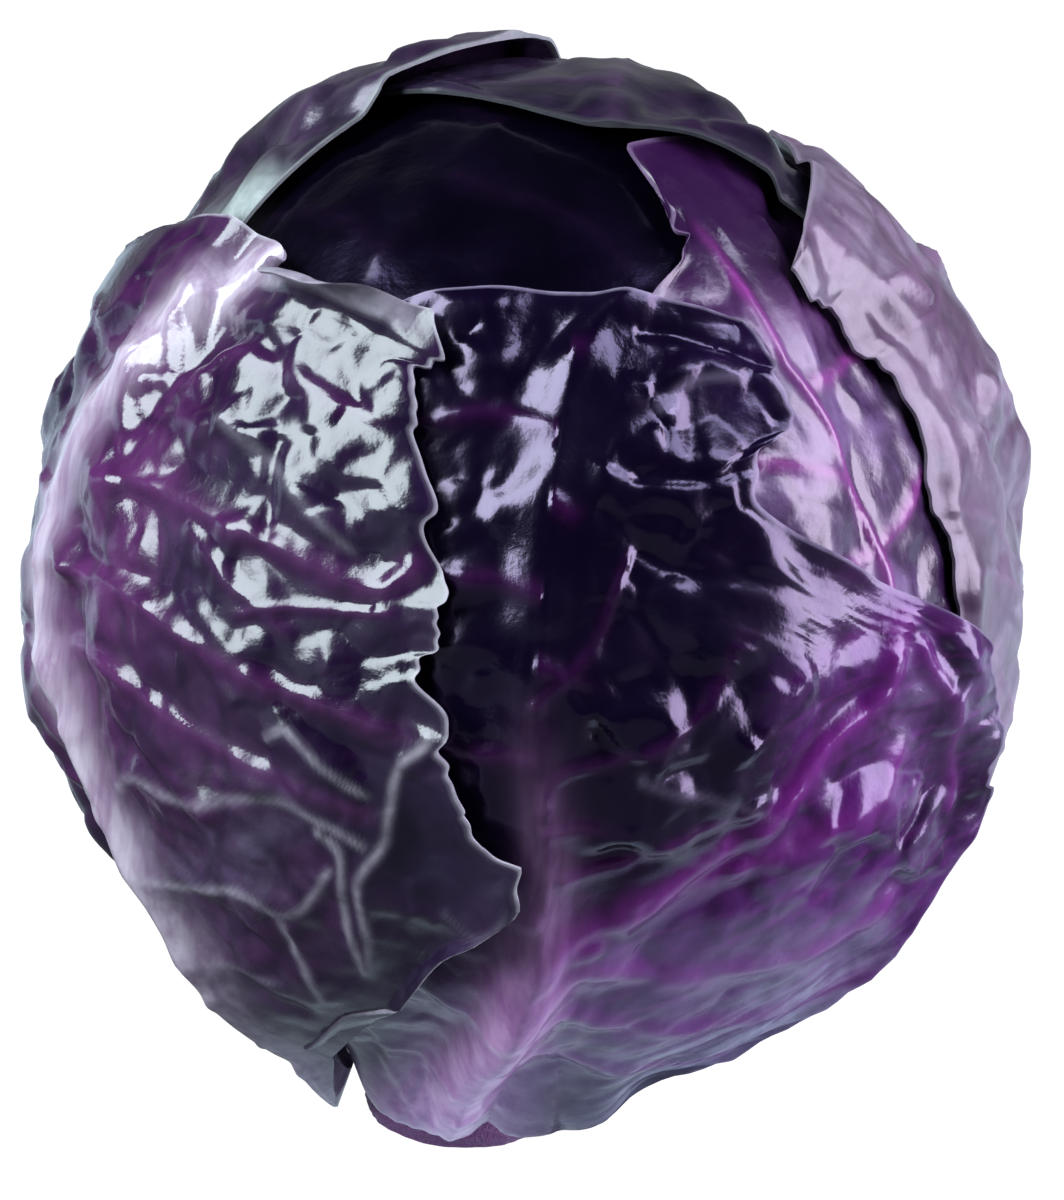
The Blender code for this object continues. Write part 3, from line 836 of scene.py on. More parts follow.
@dataclass(frozen=True)
class LeafPiece:
    """One leaf as it looks: its plan, finish, drawn ridges and crumple, and the grid that carries them.

    Past drawn_from, a t, the ridges take the place of the plain side veins, the chevrons, of which
    there are vein_pairs. rim_extra lifts the left margin, the tip and the right margin further,
    tip_calm presses the tip down, and tip_reach makes the leaf longer by a share of its length. corner
    draws the foot of the right margin to an alpha and beta at each s. rib_fall is how much of the
    midrib is lost halfway up, and lobes are the swells at its foot: how far aside, half width and
    height. rib_tones and rib_widths are how pale and how wide the midrib shows, from butt to tip. In
    its areas a leaf is flushed, darker in colour, partly its own colour and partly painted shade,
    calm instead of crumpled, coated with pale waxy film that is partly painted sheen, streaked with
    relief and painted sheen, or plump by so many millimetres.
    """

    plan: LeafPlan
    finish: LeafFinish
    slot: Slot
    rows: int
    columns: int
    crumple: Crumple
    big_crumple: Crumple
    crumple_amount: float = 1.0
    fine_crumple: Crumple | None = None
    ridges: tuple[Ridge, ...] = ()
    drawn_from: float = 2.0
    vein_pairs: float = 7.0
    chevron_height: float = 0.55
    chevron_tone: float = 0.6
    rim_extra: tuple[float, float, float] = (0.3, 0.3, 0.3)
    tip_calm: float = 0.0
    tip_reach: float = 0.0
    curl: Curl | None = None
    corner: Triples = ()
    rib_fall: float = 0.0
    lobes: Triples = ()
    rib_tones: tuple[float, ...] = (1.0, 0.6, 0.3, 0.2, 0.1)
    rib_widths: tuple[float, float] = (8.0, 1.6)
    flush: Areas = ()
    deep_and_shade: Areas = ()
    calm: Areas = ()
    bloom_and_sheen: Areas = ()
    streaks_and_sheen: Areas = ()
    plump: Areas = ()
    BUTT_SHARE: ClassVar[float] = 0.2
    CORNER_FADE: ClassVar[float] = 0.04
    COVER_EDGE: ClassVar[float] = 2.0
    COVER_FADE: ClassVar[float] = 6.0
    ROOM_TAKEN: ClassVar[float] = 0.45
    LOWEST_BLISTER: ClassVar[float] = -0.25
    OPEN_BLISTER: ClassVar[float] = 1.5
    OPEN_VEIN: ClassVar[float] = 2.0
    WAVE_HEIGHT: ClassVar[float] = 0.35
    WAVE_PITCH: ClassVar[float] = 34.0
    FRILL_PITCH: ClassVar[float] = 13.0
    RIM_WIDTH: ClassVar[float] = 5.0
    THIN_WIDTH: ClassVar[float] = 4.0
    COMB_HEIGHT: ClassVar[float] = 0.2

    def grid(self) -> bmesh.types.BMesh:
        """A flat double sheet: x is t, y runs from butt to tip and z tells the outside from the inside."""
        sheet = bmesh.new()
        bmesh.ops.create_grid(sheet, x_segments=self.columns, y_segments=self.rows, size=1.0)
        bmesh.ops.solidify(sheet, geom=sheet.faces[:], thickness=0.1)
        return sheet

    def chevrons(self, laid: LeafLay) -> tuple[np.ndarray, np.ndarray]:
        """Side veins that climb from the midrib to the margin, with forks near it.

        Args:
            laid: Where the leaf's points lie.

        Returns:
            Their height, and how much of the vein's colour they show.
        """
        plan, s, t, length = self.plan, laid.s, laid.t, laid.length
        wide = np.abs(t)
        wander = 0.10 * np.sin(5.0 * t + plan.phase) + 0.05 * np.sin(13.0 * t + 9.0 * s + plan.phase)
        stagger = np.where(t < 0, 0.0, 0.42)
        count = self.vein_pairs * s + wander + stagger
        main = np.abs(count - np.round(count)) / self.vein_pairs * length
        fork_count = count + 0.5 * smooth_step((wide - 0.3) / 0.7)
        fork = np.abs(fork_count - np.round(fork_count)) / self.vein_pairs * length
        taper = 1.0 - 0.6 * wide
        fade = smooth_step(s / 0.08) * smooth_step((1.0 - s) / 0.1) * smooth_step((1.02 - wide) / 0.15)
        ridge = bell(main, 1.3 * taper + 0.3) * taper
        branch = 0.6 * bell(fork, 0.9) * smooth_step((wide - 0.3) / 0.15)
        both = np.maximum(ridge, branch) * fade
        return self.chevron_height * both, unit(self.chevron_tone * both)

    def pull_corner(self, direction: np.ndarray, s: np.ndarray, t: np.ndarray) -> np.ndarray:
        """Draws the foot of the right margin out to the leaf's torn corners.

        Args:
            direction: Directions of the leaf's points.
            s: Their places along the leaf.
            t: Their places across it.

        Returns:
            The new directions.
        """
        if not self.corner:
            return direction
        stops, alphas, betas = np.array(self.corner).T
        alpha, beta = self.plan.angles_of(direction)
        edge_alpha, edge_beta = self.plan.angles_of(self.plan.direction(s, np.ones_like(t)))
        pull = unit(t) ** 3 * (1.0 - smooth_step((s - stops[-1]) / self.CORNER_FADE))
        alpha = alpha + pull * (np.interp(s, stops, alphas) - edge_alpha)
        beta = beta + pull * (np.interp(s, stops, betas) - edge_beta)
        return self.plan.at_angles(alpha, beta)

    def lay(self, s: np.ndarray, t: np.ndarray, stack: "LeafStack", order: int) -> LeafLay:
        """Lays the leaf's points over the head, with its rolled tip, jagged margins and torn corners.

        Args:
            s: Places along the leaf.
            t: Places across it.
            stack: The lapped leaves that it belongs to.
            order: Its place in the stack, from the inside out.

        Returns:
            Where the points lie.
        """
        plan = self.plan
        low, top = plan.reach(t)
        length = np.radians(top - low) * HEAD.leaf_radius
        s_laid, roll, lip = s * (1.0 + self.tip_reach), np.zeros_like(s), np.zeros_like(s)
        if self.curl:
            s_laid, roll = self.curl.bend(s, t, length)
            lip = self.curl.crest(s, t, length)
        direction = plan.direction(s_laid, t, plan.teeth(s) * smooth_step(s / self.BUTT_SHARE))
        direction = self.pull_corner(direction, s, t)
        alpha, beta = plan.angles_of(direction)
        tip_gap = (1.0 - s) * (top - low) * HEAD.degree
        side = (1.0 - np.abs(t)) * np.abs(plan.margin(s, t) - curve(plan.rib, s))
        margin_gap = np.minimum(side * HEAD.degree, tip_gap)
        open_air = smooth_step((stack.cover(direction, order) - self.COVER_EDGE) / self.COVER_FADE)
        return LeafLay(s, t, direction, alpha, beta, length, tip_gap, margin_gap, roll, lip, open_air)

    def blisters(self, laid: LeafLay) -> tuple[np.ndarray, np.ndarray, np.ndarray]:
        """The crumple of the blade, calm along the midrib and at the margin.

        Args:
            laid: Where the leaf's points lie.

        Returns:
            Its height, its creases from 0 to 1, and the shade of its patches.
        """
        plan, s, t = self.plan, laid.s, laid.t
        calm = 1.0 - laid.share(self.calm)
        still = smooth_step((np.abs(plan.from_rib(s, t)) - 2.0) / 9.0) * smooth_step(s / 0.25)
        still = still * smooth_step((laid.margin_gap + 1.5) / 8.0) * calm
        small, crease, shade = self.crumple.field(laid.place)
        big, big_crease, _ = self.big_crumple.field(laid.place)
        if self.fine_crumple:
            small = small + self.fine_crumple.field(laid.place)[0]
        waves = self.WAVE_HEIGHT * ripples(laid.place, self.WAVE_PITCH, plan.phase)
        height = self.crumple_amount * still * (small + big + waves)
        room = plan.room(s, t)
        highest = 0.55 * room + laid.open_air * self.OPEN_BLISTER
        height = np.clip(self.ROOM_TAKEN * room + height, self.LOWEST_BLISTER, highest)
        return height, np.maximum(crease, big_crease) * still, shade

    def veins(self, laid: LeafLay, shade: np.ndarray) -> tuple[np.ndarray, dict[str, np.ndarray]]:
        """The drawn ridges, the side veins, the streaks at the foot with their painted sheen, and the pale
        waxy film, partly painted sheen.

        Args:
            laid: Where the leaf's points lie.
            shade: Shade of the crumple's patches, from 0 to 1.

        Returns:
            Their height, and the tones vein, fold, which is a painted highlight along sharp folds, and the
            pale waxy film with its painted sheen.
        """
        s, t, length = laid.s, laid.t, laid.length
        drawn, furrow, drawn_tone, fold_glint = RidgeNet(self.plan, self.ridges).field(laid.place)
        chevron, chevron_tone = self.chevrons(laid)
        undrawn = 1.0 - smooth_step((t - self.drawn_from) / 0.15)
        height = np.maximum(drawn, chevron * undrawn)
        highest = self.ROOM_TAKEN * self.plan.room(s, t) + laid.open_air * self.OPEN_VEIN + 0.05
        height = np.minimum(height, highest) + furrow
        tone = np.maximum(drawn_tone, chevron_tone * undrawn)
        # Pale waxy film in its areas, varying from blister patch to patch: partly wax and partly painted
        # sheen.
        bloom_and_sheen = laid.share(self.bloom_and_sheen) * (0.3 + 0.7 * shade)
        # Streaks at the foot of the leaf: relief, and pale film along them as painted sheen.
        if self.streaks_and_sheen:
            streaks_and_sheen = laid.share(self.streaks_and_sheen)
            comb = np.sin(s * length * 1.05 + 3.0 * t + 1.6 * np.sin(7.0 * t + 9.0 * s))
            comb = comb + 0.7 * np.sin(s * length * 2.5 + 5.0 * t + 2.4 * np.sin(5.0 * t))
            bloom_and_sheen = np.maximum(bloom_and_sheen, streaks_and_sheen * (0.15 + 0.85 * smooth_step(0.5 + comb)))
            height = height + self.COMB_HEIGHT * comb * np.minimum(streaks_and_sheen, 1.0) * laid.open_air
            flush = laid.share(self.flush)
            tone = np.maximum(tone, 0.3 * smooth_step(comb / 1.4) * flush)
        return height, {"vein": unit(tone), "fold": fold_glint, "bloom_and_sheen": bloom_and_sheen}

    def margins(self, laid: LeafLay) -> np.ndarray:
        """How far the lifted margins, the rolled tip and the plump places stand off the leaf's seat."""
        plan, s, t = self.plan, laid.s, laid.t
        near_rim = smooth_step((self.RIM_WIDTH - laid.margin_gap) / self.RIM_WIDTH)
        left, tip, right = self.rim_extra
        extra = np.where(laid.tip_gap <= laid.margin_gap + 0.01, tip, np.where(t < 0, left, right))
        frill = 0.6 + 0.4 * ripples(laid.place, self.FRILL_PITCH, 2.0 * plan.phase)
        frill = np.where(extra < 0.0, 0.8, frill)
        flat_tip = (1.0 - smooth_step((t - 0.05) / 0.2)) * smooth_step((s - 0.84) / 0.16)
        lifted = plan.rim_lift(s, t) + extra * near_rim * frill * smooth_step(s / 0.15)
        return lifted + laid.roll - self.tip_calm * flat_tip + laid.share(self.plump)

    def body(self, laid: LeafLay) -> np.ndarray:
        """Thickness of the blade with its midrib, which is grained along its length."""
        plan, s, t = self.plan, laid.s, laid.t
        thin = smooth_step((self.THIN_WIDTH - laid.margin_gap) / self.THIN_WIDTH)
        thick = plan.blade - 0.35 * thin * smooth_step(s / self.BUTT_SHARE)
        bulge = plan.rib_bulge(s, t) * (1.0 - self.rib_fall * smooth_step((s - 0.3) / 0.2))
        from_rib = plan.from_rib(s, t)
        grain = 0.10 * np.sin(from_rib * 2.4) * smooth_step(bulge / 1.5)
        knots = np.sin(s * laid.length / 2.1 + 2.0 * np.sin(s * 19.0)) * bell(from_rib, 4.5)
        rounded = 0.72 + 0.28 * np.sqrt(unit(s / 0.03))
        for aside, half, height in self.lobes:
            swell = np.exp(-(((from_rib - aside) / half) ** 4)) * (1.0 - smooth_step(s / self.BUTT_SHARE))
            bulge = np.maximum(bulge, height * swell * rounded)
        return thick + bulge + grain + 0.22 * knots * smooth_step((s - 0.3) / 0.1)

    def build(self, stack: "LeafStack", order: int) -> bpy.types.Object:
        """Makes the leaf's mesh and dresses it.

        Args:
            stack: The lapped leaves that it belongs to.
            order: Its place in the stack, from the inside out.

        Returns:
            The piece.
        """
        sheet = self.grid()
        flat = np.array([vertex.co for vertex in sheet.verts])
        outside = flat[:, 2] > 0.5 * (flat[:, 2].min() + flat[:, 2].max())
        s = np.clip(0.5 + 0.5 * flat[:, 1], 0.0, 1.0)
        t = np.clip(flat[:, 0], -1.0, 1.0)
        laid = self.lay(s, t, stack, order)
        blister, crease, shade = self.blisters(laid)
        vein, tones = self.veins(laid, shade)
        seat = HEAD.heart_radius(laid.direction) + stack.seat(laid.direction, order) + HEAD.fit_gap
        inner = seat + self.margins(laid) + blister
        points = HEAD.point(laid.direction, np.where(outside, inner + self.body(laid) + vein, inner))
        set_points(sheet, points)

        wide, narrow = self.rib_widths
        rib_width = narrow + (wide - narrow) * (1.0 - s) ** 2
        rib = bell(self.plan.from_rib(s, t), rib_width) * curve(self.rib_tones, s)
        pale_edge = np.maximum(smooth_step((0.75 - laid.margin_gap) / 0.65), laid.lip) * smooth_step(s / 0.1)
        traits = {
            "vein": tones["vein"],
            "crease": crease,
            "rib": unit(rib),
            # Pale margins and lip crest, with the painted highlight along the crests of sharp folds.
            "rim": np.maximum(pale_edge, tones["fold"]),
            "flush": laid.share(self.flush),
            "deep_and_shade": laid.share(self.deep_and_shade),
            "bloom_and_sheen": tones["bloom_and_sheen"],
        }
        return add_piece(self.plan.name, sheet, dress_leaf(self.finish), traits)


@dataclass(frozen=True)
class LeafStack:
    """The lapped leaves, from the innermost to the outermost."""

    leaves: tuple[LeafPiece, ...]

    def seat(self, direction: np.ndarray, count: int) -> np.ndarray:
        """Height above the heart at which the leaf with this place in the order lies."""
        level = np.zeros(direction.shape[:-1])
        for leaf in self.leaves[:count]:
            level = level + leaf.plan.bed(direction)
        return level

    def cover(self, direction: np.ndarray, order: int) -> np.ndarray:
        """Distance in millimetres to the nearest leaf that lies over this one, at each direction."""
        gap = np.full(direction.shape[:-1], FAR_AWAY)
        for leaf in self.leaves[order + 1:]:
            gap = np.minimum(gap, leaf.plan.place(direction)[2])
        return gap

    def build(self) -> None:
        """Builds every leaf."""
        for order, leaf in enumerate(self.leaves):
            leaf.build(self, order)


@dataclass(frozen=True)
class Heart:
    """The ball of packed inner leaves, with their lapping edges and faint veins."""

    segments: int = 140
    rings: int = 100
    step: float = 0.45
    laps: Places = ((-150.0, 0.5), (-60.0, 0.6), (35.0, 0.5), (120.0, 0.55))
    vein_pitch: float = 22.0
    vein_height: float = 0.25
    finish: LeafFinish = LeafFinish(
        "heart_leaf", (0.006, 0.003, 0.012), (0.02, 0.009, 0.035), (0.06, 0.015, 0.07), (0.09, 0.03, 0.10),
        (0.3, 0.2, 0.34), (0.2, 0.17, 0.24), (0.10, 0.09, 0.16), 0.3, 0.34)

    def build(self) -> bpy.types.Object:
        """Makes the ball: a sphere whose points are moved to the lapped skins."""
        ball = bmesh.new()
        bmesh.ops.create_uvsphere(ball, u_segments=self.segments, v_segments=self.rings, radius=1.0)
        direction = np.array([vertex.co.normalized() for vertex in ball.verts])
        turn = np.degrees(np.arctan2(direction[:, 0], -direction[:, 1]))
        height = np.degrees(np.arcsin(np.clip(direction[:, 2], -1.0, 1.0)))
        fall = np.full(len(direction), FAR_AWAY)
        for start, lean in self.laps:
            edge = start + lean * height + 4.0 * np.sin(height / 9.0 + start)
            past = np.mod(turn - edge, 360.0)
            fall = np.minimum(fall, past)
        lap = self.step * (1.0 - smooth_step(fall / 2.0)) - self.step
        climb = np.abs(np.mod(turn / self.vein_pitch + height / 60.0, 1.0) - 0.5) * self.vein_pitch
        vein = bell(climb, 1.2) * smooth_step((60.0 - height) / 40.0)
        rim = bell(fall - 1.0, 1.0)
        radius = HEAD.heart_radius(direction) - HEAD.slack + lap + self.vein_height * vein - self.vein_height
        set_points(ball, HEAD.point(direction, radius))
        blank = np.zeros(len(direction))
        traits = dict.fromkeys(("crease", "rib", "flush", "deep_and_shade", "bloom_and_sheen"), blank)
        traits |= {"vein": 0.7 * vein, "rim": 0.8 * rim}
        return add_piece("heart", ball, dress_leaf(self.finish), traits)


@dataclass(frozen=True)
class Stalk:
    """The cut stump, lobed and grained: pith, a woody ring and a tough skin.

    Sizes are in millimetres, and those that the finish reads, cut_grain and the two rings, in metres.
    """

    radius: float = 14.0
    bevel: float = 1.2
    segments: int = 96
    levels: int = 15
    cap_rings: int = 9
    cap_step: float = 0.095
    cut_grain: float = 0.0003
    ring_inside: tuple[float, float] = (0.0088, 0.0102)
    ring_outside: tuple[float, float] = (0.0112, 0.0128)
    pith: Colour = (0.62, 0.56, 0.58)
    dull_pith: Colour = (0.50, 0.42, 0.47)
    ring: Colour = (0.30, 0.14, 0.28)
    skin: Colour = (0.11, 0.03, 0.12)

    def top(self) -> float:
        """Height of the stump's upper end, just under the heart."""
        return HEAD.centre_height - float(HEAD.heart_radius(np.array([0.0, 0.0, -1.0]))) - HEAD.fit_gap

    def build(self) -> bpy.types.Object:
        """Makes the stump from a disc: inset rings on the cut face, and walls drawn up from its edge."""
        stump = bmesh.new()
        bmesh.ops.create_circle(stump, cap_ends=True, segments=self.segments, radius=1.0)
        face = stump.faces[:][0]
        walls = bmesh.ops.extrude_face_region(stump, geom=[face])
        upper = [item for item in walls["geom"] if isinstance(item, bmesh.types.BMVert)]
        bmesh.ops.translate(stump, verts=upper, vec=Vector((0.0, 0.0, 1.0)))
        sides = [edge for edge in stump.edges if abs(edge.verts[0].co.z - edge.verts[1].co.z) > 0.5]
        bmesh.ops.subdivide_edges(stump, edges=sides, cuts=self.levels - 1, use_grid_fill=True)
        for cap in [face for face in stump.faces if len(face.verts) > 4]:
            for _ in range(self.cap_rings):
                bmesh.ops.inset_region(stump, faces=[cap], thickness=self.cap_step, use_even_offset=True)
        self.form(stump)
        return add_piece("stalk", stump, self.dress())

    def form(self, stump: bmesh.types.BMesh) -> None:
        """Moves the points of the plain drum to the stump's own lobed, grained shape."""
        top = self.top()
        for vertex in stump.verts:
            x, y, level = vertex.co
            reach = min(float(np.hypot(x, y)), 1.0)
            angle = float(np.arctan2(y, x))
            lobes = 0.4 * np.sin(3 * angle + 0.5) + 0.18 * np.sin(7 * angle + 1.0)
            grain = 0.08 * np.sin(23 * angle + 2.0 * np.sin(9.0 * level))
            swell = 0.8 * np.sin(np.pi * level) * (0.3 + 0.2 * np.sin(5 * angle)) - 0.6 * level
            edge_fall = self.bevel * smooth_step(np.array((reach - 0.9) / 0.1)) * max(0.0, 1.0 - 8.0 * level)
            wide = (self.radius - 0.6 + lobes + grain + swell) * reach - float(edge_fall) * 0.9 * reach
            rough = 0.12 * (1.0 + np.sin(11.0 * reach + 3.0 * angle)) * (level < 0.01) * (reach < 0.97)
            height = top * level + (rough if reach > 0.3 else 0.3 * (1.0 - reach / 0.3))
            if level < 0.01 and reach > 0.96:
                height = self.bevel * (reach - 0.96) / 0.04 * 0.6
            vertex.co = Vector((wide * np.cos(angle), wide * np.sin(angle), height)) * MM

    def dress(self) -> bpy.types.Material:
        """Moist flesh with a darker woody ring, read from the distance to the stump's axis."""
        sketch = NodeSketch("stalk_cut")
        flat = sketch.node("ShaderNodeVectorMath", sketch.where, (1.0, 1.0, 0.0), operation="MULTIPLY")
        length = sketch.node("ShaderNodeVectorMath", flat.outputs["Vector"], operation="LENGTH")
        wobble = sketch.maths("MULTIPLY", sketch.noise(160.0, 3.0), 0.003)
        reach = sketch.maths("ADD", length.outputs["Value"], wobble)
        inside = sketch.span(reach, *self.ring_inside)
        outside = sketch.span(reach, *self.ring_outside)
        ring = sketch.maths("SUBTRACT", inside, outside)
        grain = sketch.noise(700.0, 4.0, 0.65)
        pores = sketch.span(sketch.cells(900.0, 0.001), 0.0, 0.12, 1.0, 0.0)
        flesh = sketch.blend(sketch.span(grain, 0.3, 0.7), self.pith, self.dull_pith)
        flesh = sketch.blend(sketch.maths("MULTIPLY", pores, 0.35), flesh, self.skin)
        flesh = sketch.blend(ring, flesh, self.ring)
        flesh = sketch.blend(outside, flesh, self.skin)
        height = sketch.maths("MULTIPLY", grain, 0.6)
        height = sketch.maths("ADD", height, sketch.maths("MULTIPLY", pores, 0.4))
        sketch.shade({"Base Color": flesh, "Roughness": sketch.span(grain, 0.3, 0.7, 0.45, 0.7),
                      "Normal": sketch.bump(height, self.cut_grain)})
        return sketch.made


FINISHES = {
    "left": LeafFinish("leaf_left_wax", (0.007, 0.002, 0.018), (0.022, 0.006, 0.038), (0.10, 0.018, 0.11),
                       (0.12, 0.025, 0.135), (0.60, 0.54, 0.66), (0.36, 0.34, 0.42), (0.080, 0.060, 0.12),
                       0.05, 0.20, (0.88, 0.94, 0.98)),
    "front": LeafFinish("leaf_front_wax", (0.002, 0.0006, 0.008), (0.010, 0.002, 0.026),
                        (0.09, 0.010, 0.14), (0.19, 0.020, 0.23), (0.56, 0.33, 0.60),
                        (0.22, 0.19, 0.29), (0.30, 0.32, 0.43), 0.02, 0.20, (0.74, 0.62, 1.0)),
    "inner_right": LeafFinish("leaf_lilac_wax", (0.018, 0.003, 0.032), (0.15, 0.09, 0.22),
                              (0.17, 0.03, 0.19), (0.22, 0.035, 0.23), LILAC_BUTT,
                              (0.14, 0.09, 0.18), (0.16, 0.125, 0.23), 0.30, 0.24, (0.95, 0.9, 1.0)),
    # Near black: the crown's leaf in its own dark colour, darkened further as painted shade.
    "inner_left": LeafFinish("leaf_black_and_shade_wax", (0.001, 0.0005, 0.003), (0.002, 0.001, 0.006),
                             (0.010, 0.002, 0.016), (0.008, 0.003, 0.014), LILAC_BUTT,
                             (0.02, 0.017, 0.03), (0.005, 0.005, 0.01), 0.1, 0.22, (0.2, 0.14, 0.4)),
    # Pale film all over the right leaf: wax, and painted sheen of its grazing side.
    "right": LeafFinish("leaf_right_wax", (0.055, 0.028, 0.065), (0.15, 0.085, 0.16), (0.17, 0.07, 0.20),
                        (0.20, 0.09, 0.21), LILAC_BUTT, (0.20, 0.17, 0.23), (0.30, 0.30, 0.37),
                        0.4, 0.33, (0.92, 0.9, 1.0)),
    # Pale teal film: painted sheen along the upper left silhouette, with some wax.
    "back_left": LeafFinish("leaf_back_left_wax", (0.006, 0.003, 0.013), (0.03, 0.010, 0.045),
                            (0.06, 0.018, 0.08), (0.09, 0.04, 0.12), LILAC_BUTT, (0.22, 0.25, 0.26),
                            (0.42, 0.50, 0.50), 0.04, 0.26),
    "outer": LeafFinish("leaf_outer_wax", (0.006, 0.003, 0.013), (0.022, 0.009, 0.036), (0.06, 0.018, 0.08),
                        (0.09, 0.04, 0.12), LILAC_BUTT, (0.04, 0.045, 0.05), (0.05, 0.06, 0.07),
                        0.15, 0.23),
}

